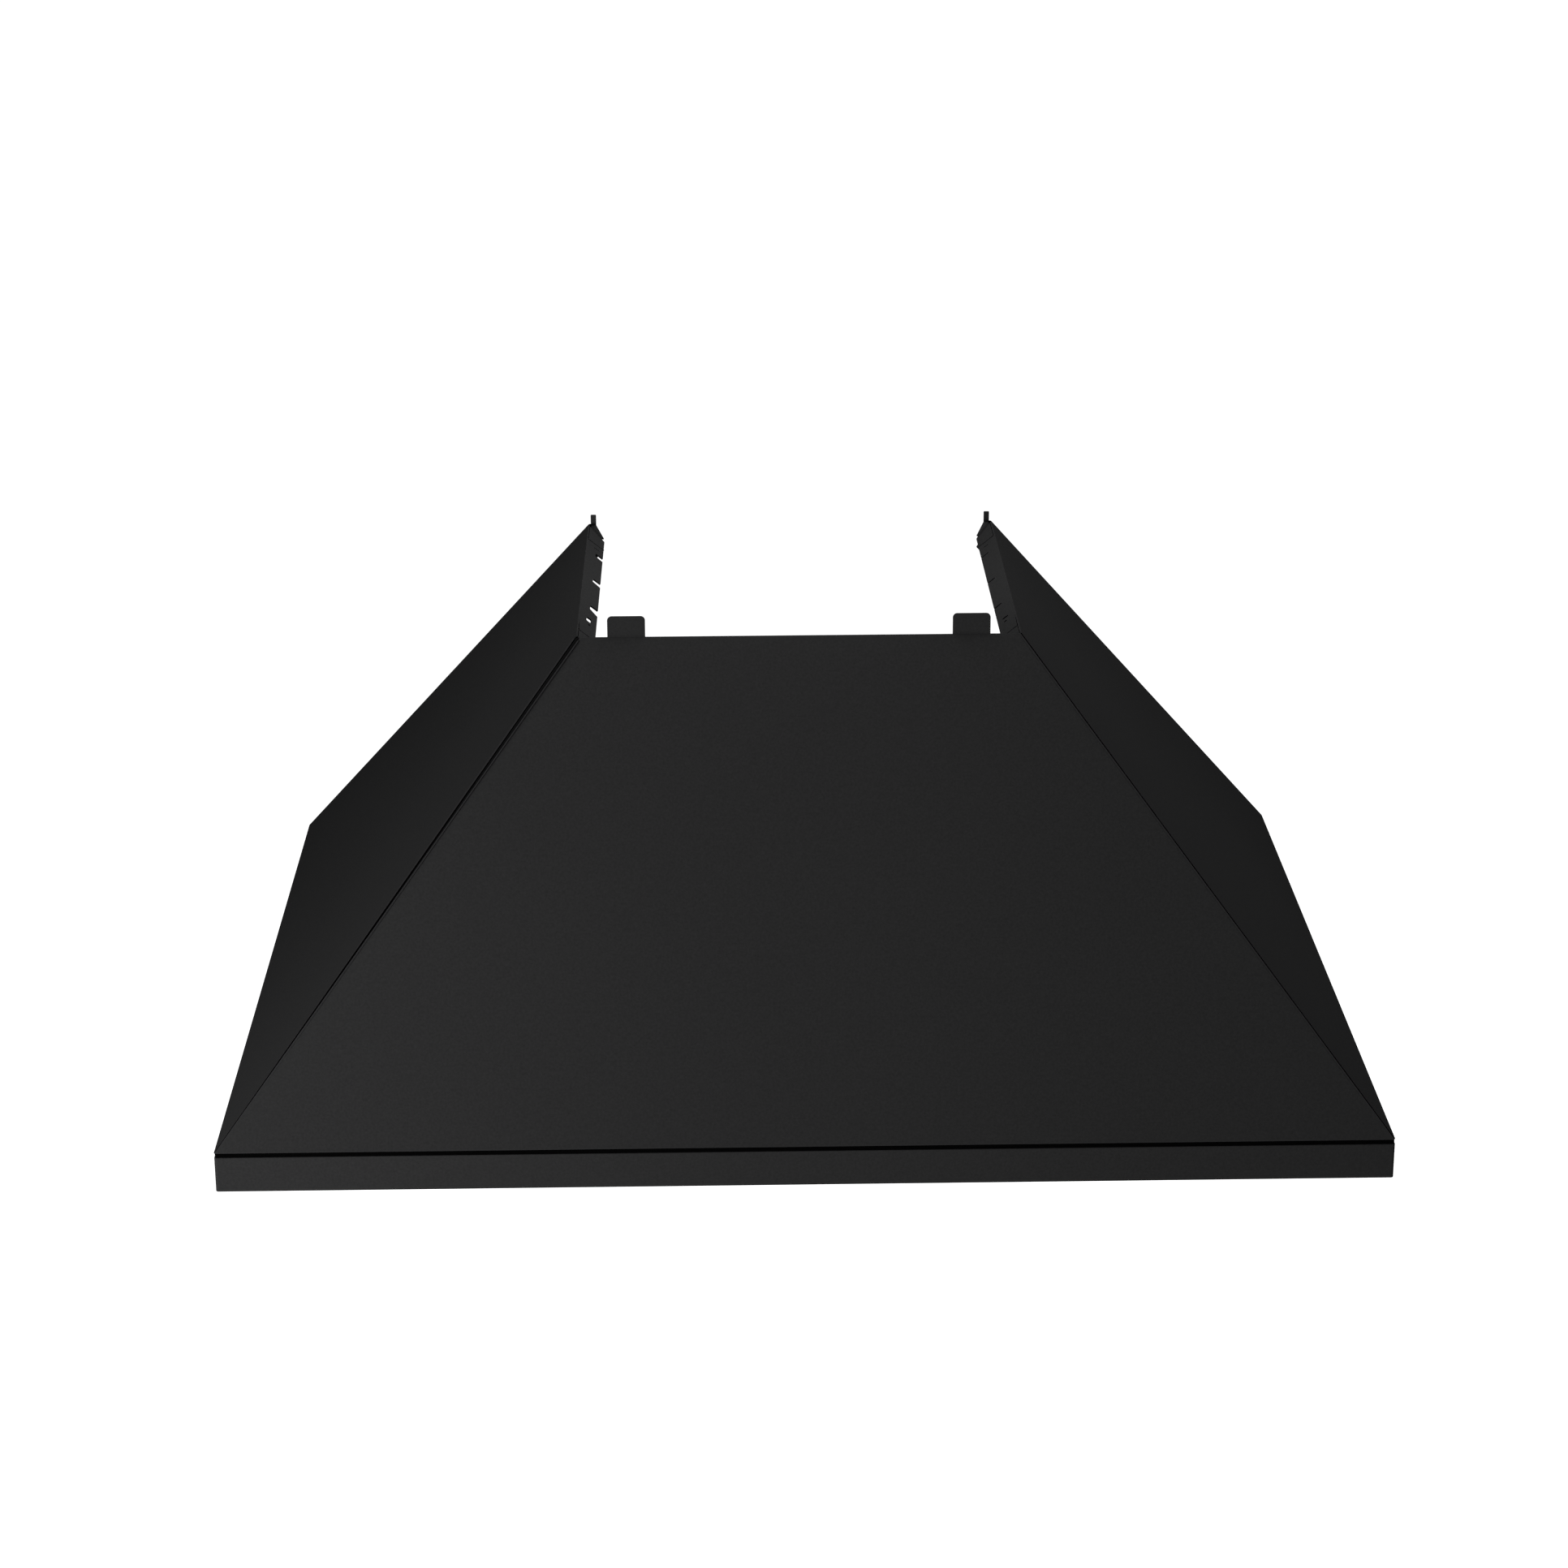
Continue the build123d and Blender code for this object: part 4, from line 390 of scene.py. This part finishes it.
def digit_mesh(name, text):
    """A number in the built-in font, as a thin raised mesh centred on the origin."""
    curve = bpy.data.curves.new(name, "FONT")
    curve.body = text
    curve.size = MARK_SIZE
    curve.align_x = "CENTER"
    curve.align_y = "CENTER"
    curve.extrude = MARK_RISE
    holder = placed(name, curve)
    bpy.context.view_layer.update()
    final = holder.evaluated_get(bpy.context.evaluated_depsgraph_get())
    mesh = bpy.data.meshes.new_from_object(final)
    bpy.data.objects.remove(holder)
    return mesh


def place_mark(name, mesh, button):
    """Put a mark on the fascia beside its button, to be read from below and in front."""
    low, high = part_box(button)
    fascia_low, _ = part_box("control_fascia")
    mark = placed(name, mesh)
    mark.location = ((low.x + high.x) / 2, (low.y + high.y) / 2 + MARK_SPACE, fascia_low.z)
    mark.rotation_euler = (math.pi, 0.0, 0.0)
    mesh.materials.clear()
    mesh.materials.append(ink.material)
    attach(mark, "hood")


ring_start = UPWARD + POWER_GAP / 2
power_outlines = band(POWER_RING, MARK_LINE, ring_start, ring_start + 2 * math.pi - POWER_GAP)
power_outlines.append(bar(UPWARD, *POWER_BAR, MARK_LINE))
place_mark("power_mark", flat_piece("power_mark", power_outlines), "power_button")

light_outlines = band(BULB_RING, MARK_LINE, 0.0, 2 * math.pi)
for ray in range(BULB_RAYS):
    light_outlines.append(bar(2 * math.pi * ray / BULB_RAYS, *BULB_RAY, RAY_LINE))
place_mark("light_mark", flat_piece("light_mark", light_outlines), "light_button")

for digit, speed in (("1", "low"), ("2", "medium"), ("3", "high")):
    mark_name = f"{speed}_speed_mark"
    place_mark(mark_name, digit_mesh(mark_name, digit), f"{speed}_speed_button")

# ------------------------------------------------------------------ painted shade in the front hips: near-black beads
TOP_CORNER = Vector((147.0, -138.5, 320.0)) * MM        # upper end of the right front hip
LOW_CORNER = Vector((381.0, -305.0, 27.0)) * MM         # lower end of it
LEFT_GAP = (0.5 * MM, 3.4 * MM)     # the hip's open width at its foot and at its upper end
RIGHT_GAP = (0.9 * MM, 1.0 * MM)
BEAD_INSET = 2.2 * MM       # from the sheets' outer faces to the middle of the bead
BEAD_RADIUS = 1.7 * MM
BEAD_SQUEEZE = 0.12 * MM    # how far the bead is pressed into the flanges on either side
BEAD_FACETS = 3             # faces in a quarter of the bead's round section, less one
HIP_START = 385.0 * MM      # from the hip's upper end to the lower end of its bead
HIP_STEPS = 24
# the full bead: up the last of the hip, above its flanges, then back along the side sheet's fold
CORNER_POINTS = (13.0 * MM, 8.0 * MM, 4.5 * MM, 3.4 * MM)
FOLD_POINTS = (4.5 * MM, 12.0 * MM, 24.0 * MM, 38.0 * MM, 51.0 * MM)

# near-black bead material: painted shade for the hip gaps
hip_gap_shade = Surface("hip_gap_shade", (0.0026, 0.0026, 0.0026), 0.85, specular=0.04)
hip_gap_shade.shade(hip_gap_shade.noise(400.0), 0.75, 1.20)
hip_gap_shade.relief(hip_gap_shade.noise(600.0, 2.0), 0.15 * MM, 0.7)


def corner_bead(name, side, low_gap, high_gap):
    """A near-black bead between a front hip's flanges, then back under the side sheet's fold: painted
    shade.
    """
    fall = TOP_CORNER.z - LOW_CORNER.z
    side_slope = math.atan2(fall, LOW_CORNER.x - TOP_CORNER.x)
    front_slope = math.atan2(fall, TOP_CORNER.y - LOW_CORNER.y)
    hip = (LOW_CORNER - TOP_CORNER).normalized()
    behind_both = Vector((-1 / math.sin(side_slope), 1 / math.sin(front_slope), 0.0))
    hip_start = TOP_CORNER + behind_both * BEAD_INSET
    inward = Vector((-math.sin(side_slope), 0.0, -math.cos(side_slope)))
    downward = Vector((math.cos(side_slope), 0.0, -math.sin(side_slope)))
    fold_start = TOP_CORNER + (inward + downward) * BEAD_INSET

    path = []
    for step in range(HIP_STEPS):
        share = step / HIP_STEPS
        along = HIP_START + (CORNER_POINTS[0] - HIP_START) * share
        gap = low_gap + (high_gap - low_gap) * share
        path.append((hip_start + hip * along, gap / 2 + BEAD_SQUEEZE))
    path += [(hip_start + hip * along, BEAD_RADIUS) for along in CORNER_POINTS]
    path += [(fold_start + Vector((0.0, back, 0.0)), BEAD_RADIUS) for back in FOLD_POINTS]

    curve = bpy.data.curves.new(name, "CURVE")
    curve.dimensions = "3D"
    curve.bevel_depth = BEAD_RADIUS
    curve.bevel_resolution = BEAD_FACETS
    curve.use_fill_caps = True
    line = curve.splines.new("POLY")
    line.points.add(len(path) - 1)
    for index, (point, radius) in enumerate(path):
        line.points[index].co = (side * point.x, point.y, point.z, 1.0)
        line.points[index].radius = radius / BEAD_RADIUS
    curve.materials.append(hip_gap_shade.material)
    bead = placed(name, curve)
    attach(bead, "hood")


corner_bead("left_corner_bead", -1, *LEFT_GAP)
corner_bead("right_corner_bead", 1, *RIGHT_GAP)

# ------------------------------------------------------------------ near-black trim over the rim: foam and painted shade
RIM_WIDTH = 762.0 * MM
RIM_DEPTH = 610.0 * MM
STRIP_INSET = 0.4 * MM      # the strip's face stands this far behind the rim's face
STRIP_THICKNESS = 1.6 * MM
STRIP_LOW = 24.05 * MM      # just over the rim band
STRIP_HIGH = 26.95 * MM     # just under the canopy
STRIP_CORNER = 2.0 * MM     # radius of its corners
CORNER_STEPS = 6            # flat faces in each corner

# foam for the strip; its near-black tone is partly painted shade deep in the gap
foam_and_gap_shade = Surface("foam_and_gap_shade", (0.0012, 0.0012, 0.0012), 0.95, specular=0.0)
foam_and_gap_shade.shade(foam_and_gap_shade.cells(1400.0), 0.6, 1.3)
foam_and_gap_shade.relief(foam_and_gap_shade.cells(1400.0), 0.2 * MM, 0.6)


def rounded_loop(width, depth, radius):
    """Points round a rectangle with rounded corners, centred on the origin."""
    loop = []
    for quarter in range(4):
        start = quarter * math.pi / 2
        middle_x = (width / 2 - radius) * (1 if quarter in (0, 3) else -1)
        middle_y = (depth / 2 - radius) * (1 if quarter in (0, 1) else -1)
        for step in range(CORNER_STEPS + 1):
            angle = start + math.pi / 2 * step / CORNER_STEPS
            loop.append((middle_x + radius * math.cos(angle), middle_y + radius * math.sin(angle)))
    return loop


outer = rounded_loop(RIM_WIDTH - 2 * STRIP_INSET, RIM_DEPTH - 2 * STRIP_INSET, STRIP_CORNER)
inside = STRIP_INSET + STRIP_THICKNESS
inner = rounded_loop(RIM_WIDTH - 2 * inside, RIM_DEPTH - 2 * inside, STRIP_CORNER / 2)
corners = [(x, y, z) for loop in (outer, inner) for z in (STRIP_LOW, STRIP_HIGH) for x, y in loop]
count = len(outer)
faces = []
for i in range(count):
    after = (i + 1) % count
    for low, high in ((0, 1), (1, 3), (3, 2), (2, 0)):      # outside, top, inside and underside
        faces.append([low * count + i, low * count + after, high * count + after, high * count + i])
strip_mesh = bpy.data.meshes.new("shadow_strip")
strip_mesh.from_pydata(corners, [], faces)
strip_mesh.materials.append(foam_and_gap_shade.material)
strip = placed("shadow_strip", strip_mesh)
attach(strip, "hood")

# ------------------------------------------------------------------ floor and light
FLOOR_DROP = 0.46           # from the rim's lower edge to the floor, clear of the open filters
FLOOR_SIZE = 60.0
FLOOR_TONE = 0.80
FLOOR_LIFT = 0.93           # light the floor adds for the eye, so that it shows white
WORLD_GLOW = 0.18           # the world's light on the object; to the eye it is 1, white

floor_mesh = bpy.data.meshes.new("floor")
half = FLOOR_SIZE / 2
floor_mesh.from_pydata([(-half, -half, -FLOOR_DROP), (half, -half, -FLOOR_DROP),
                        (half, half, -FLOOR_DROP), (-half, half, -FLOOR_DROP)], [], [(0, 1, 2, 3)])
floor = placed("floor", floor_mesh)


def seen_directly(tree):
    """1 for the rays that show the background: to the camera, in a reflection or through glass."""
    path = tree.nodes.new("ShaderNodeLightPath")
    total = path.outputs["Is Camera Ray"]
    for ray in ("Is Glossy Ray", "Is Transmission Ray"):
        either = tree.nodes.new("ShaderNodeMath")
        either.operation = "MAXIMUM"
        tree.links.new(total, either.inputs[0])
        tree.links.new(path.outputs[ray], either.inputs[1])
        total = either.outputs["Value"]
    return total


def floor_material():
    """A pale matt floor that reads white, keeps the shadow and can be seen through from below."""
    material = bpy.data.materials.new("floor")
    material.use_nodes = True
    tree = material.node_tree
    tree.nodes.clear()
    diffuse = tree.nodes.new("ShaderNodeBsdfDiffuse")
    diffuse.inputs["Color"].default_value = (FLOOR_TONE, FLOOR_TONE, FLOOR_TONE, 1.0)
    glow = tree.nodes.new("ShaderNodeEmission")
    lift = tree.nodes.new("ShaderNodeMath")
    lift.operation = "MULTIPLY"
    lift.inputs[1].default_value = FLOOR_LIFT
    tree.links.new(seen_directly(tree), lift.inputs[0])
    tree.links.new(lift.outputs["Value"], glow.inputs["Strength"])
    lit = tree.nodes.new("ShaderNodeAddShader")
    tree.links.new(diffuse.outputs["BSDF"], lit.inputs[0])
    tree.links.new(glow.outputs["Emission"], lit.inputs[1])
    clear = tree.nodes.new("ShaderNodeBsdfTransparent")
    side = tree.nodes.new("ShaderNodeNewGeometry")
    mix = tree.nodes.new("ShaderNodeMixShader")
    tree.links.new(side.outputs["Backfacing"], mix.inputs[0])
    tree.links.new(lit.outputs["Shader"], mix.inputs[1])
    tree.links.new(clear.outputs["BSDF"], mix.inputs[2])
    output = tree.nodes.new("ShaderNodeOutputMaterial")
    tree.links.new(mix.outputs["Shader"], output.inputs["Surface"])
    return material


floor_mesh.materials.append(floor_material())

world = bpy.data.worlds.new("studio")
world.use_nodes = True
bpy.context.scene.world = world
background = world.node_tree.nodes["Background"]
background.inputs["Color"].default_value = (1.0, 1.0, 1.0, 1.0)
level = world.node_tree.nodes.new("ShaderNodeMapRange")
level.inputs["To Min"].default_value = WORLD_GLOW
world.node_tree.links.new(seen_directly(world.node_tree), level.inputs["Value"])
world.node_tree.links.new(level.outputs["Result"], background.inputs["Strength"])


def lamp(name, place, target, size, power):
    """A soft rectangular lamp aimed at a point."""
    data = bpy.data.lights.new(name, "AREA")
    data.shape = "RECTANGLE"
    data.size, data.size_y = size
    data.energy = power
    made = placed(name, data)
    made.location = place
    made.rotation_euler = (Vector(target) - Vector(place)).to_track_quat("-Z", "Y").to_euler()
    made.visible_camera = False
    made.visible_glossy = False


# place, target, size in metres, and power in watts
lamp("left_low_lamp", (-1.3, -1.3, 0.25), (-0.2, -0.25, 0.1), (0.7, 0.5), 18.9)
lamp("left_near_lamp", (-0.85, -0.95, 0.18), (-0.25, -0.25, 0.08), (0.35, 0.25), 3.8)
lamp("front_low_lamp", (0.0, -2.4, 0.2), (0.0, -0.3, 0.1), (1.4, 0.5), 5.9)
lamp("right_top_lamp", (0.95, 0.0, 0.95), (0.25, 0.0, 0.2), (0.3, 0.4), 4.8)
lamp("opening_lamp", (0.0, 0.0, 0.60), (0.0, 0.0, 0.3), (0.10, 0.26), 1.2)

bpy.context.scene.view_settings.view_transform = "Standard"
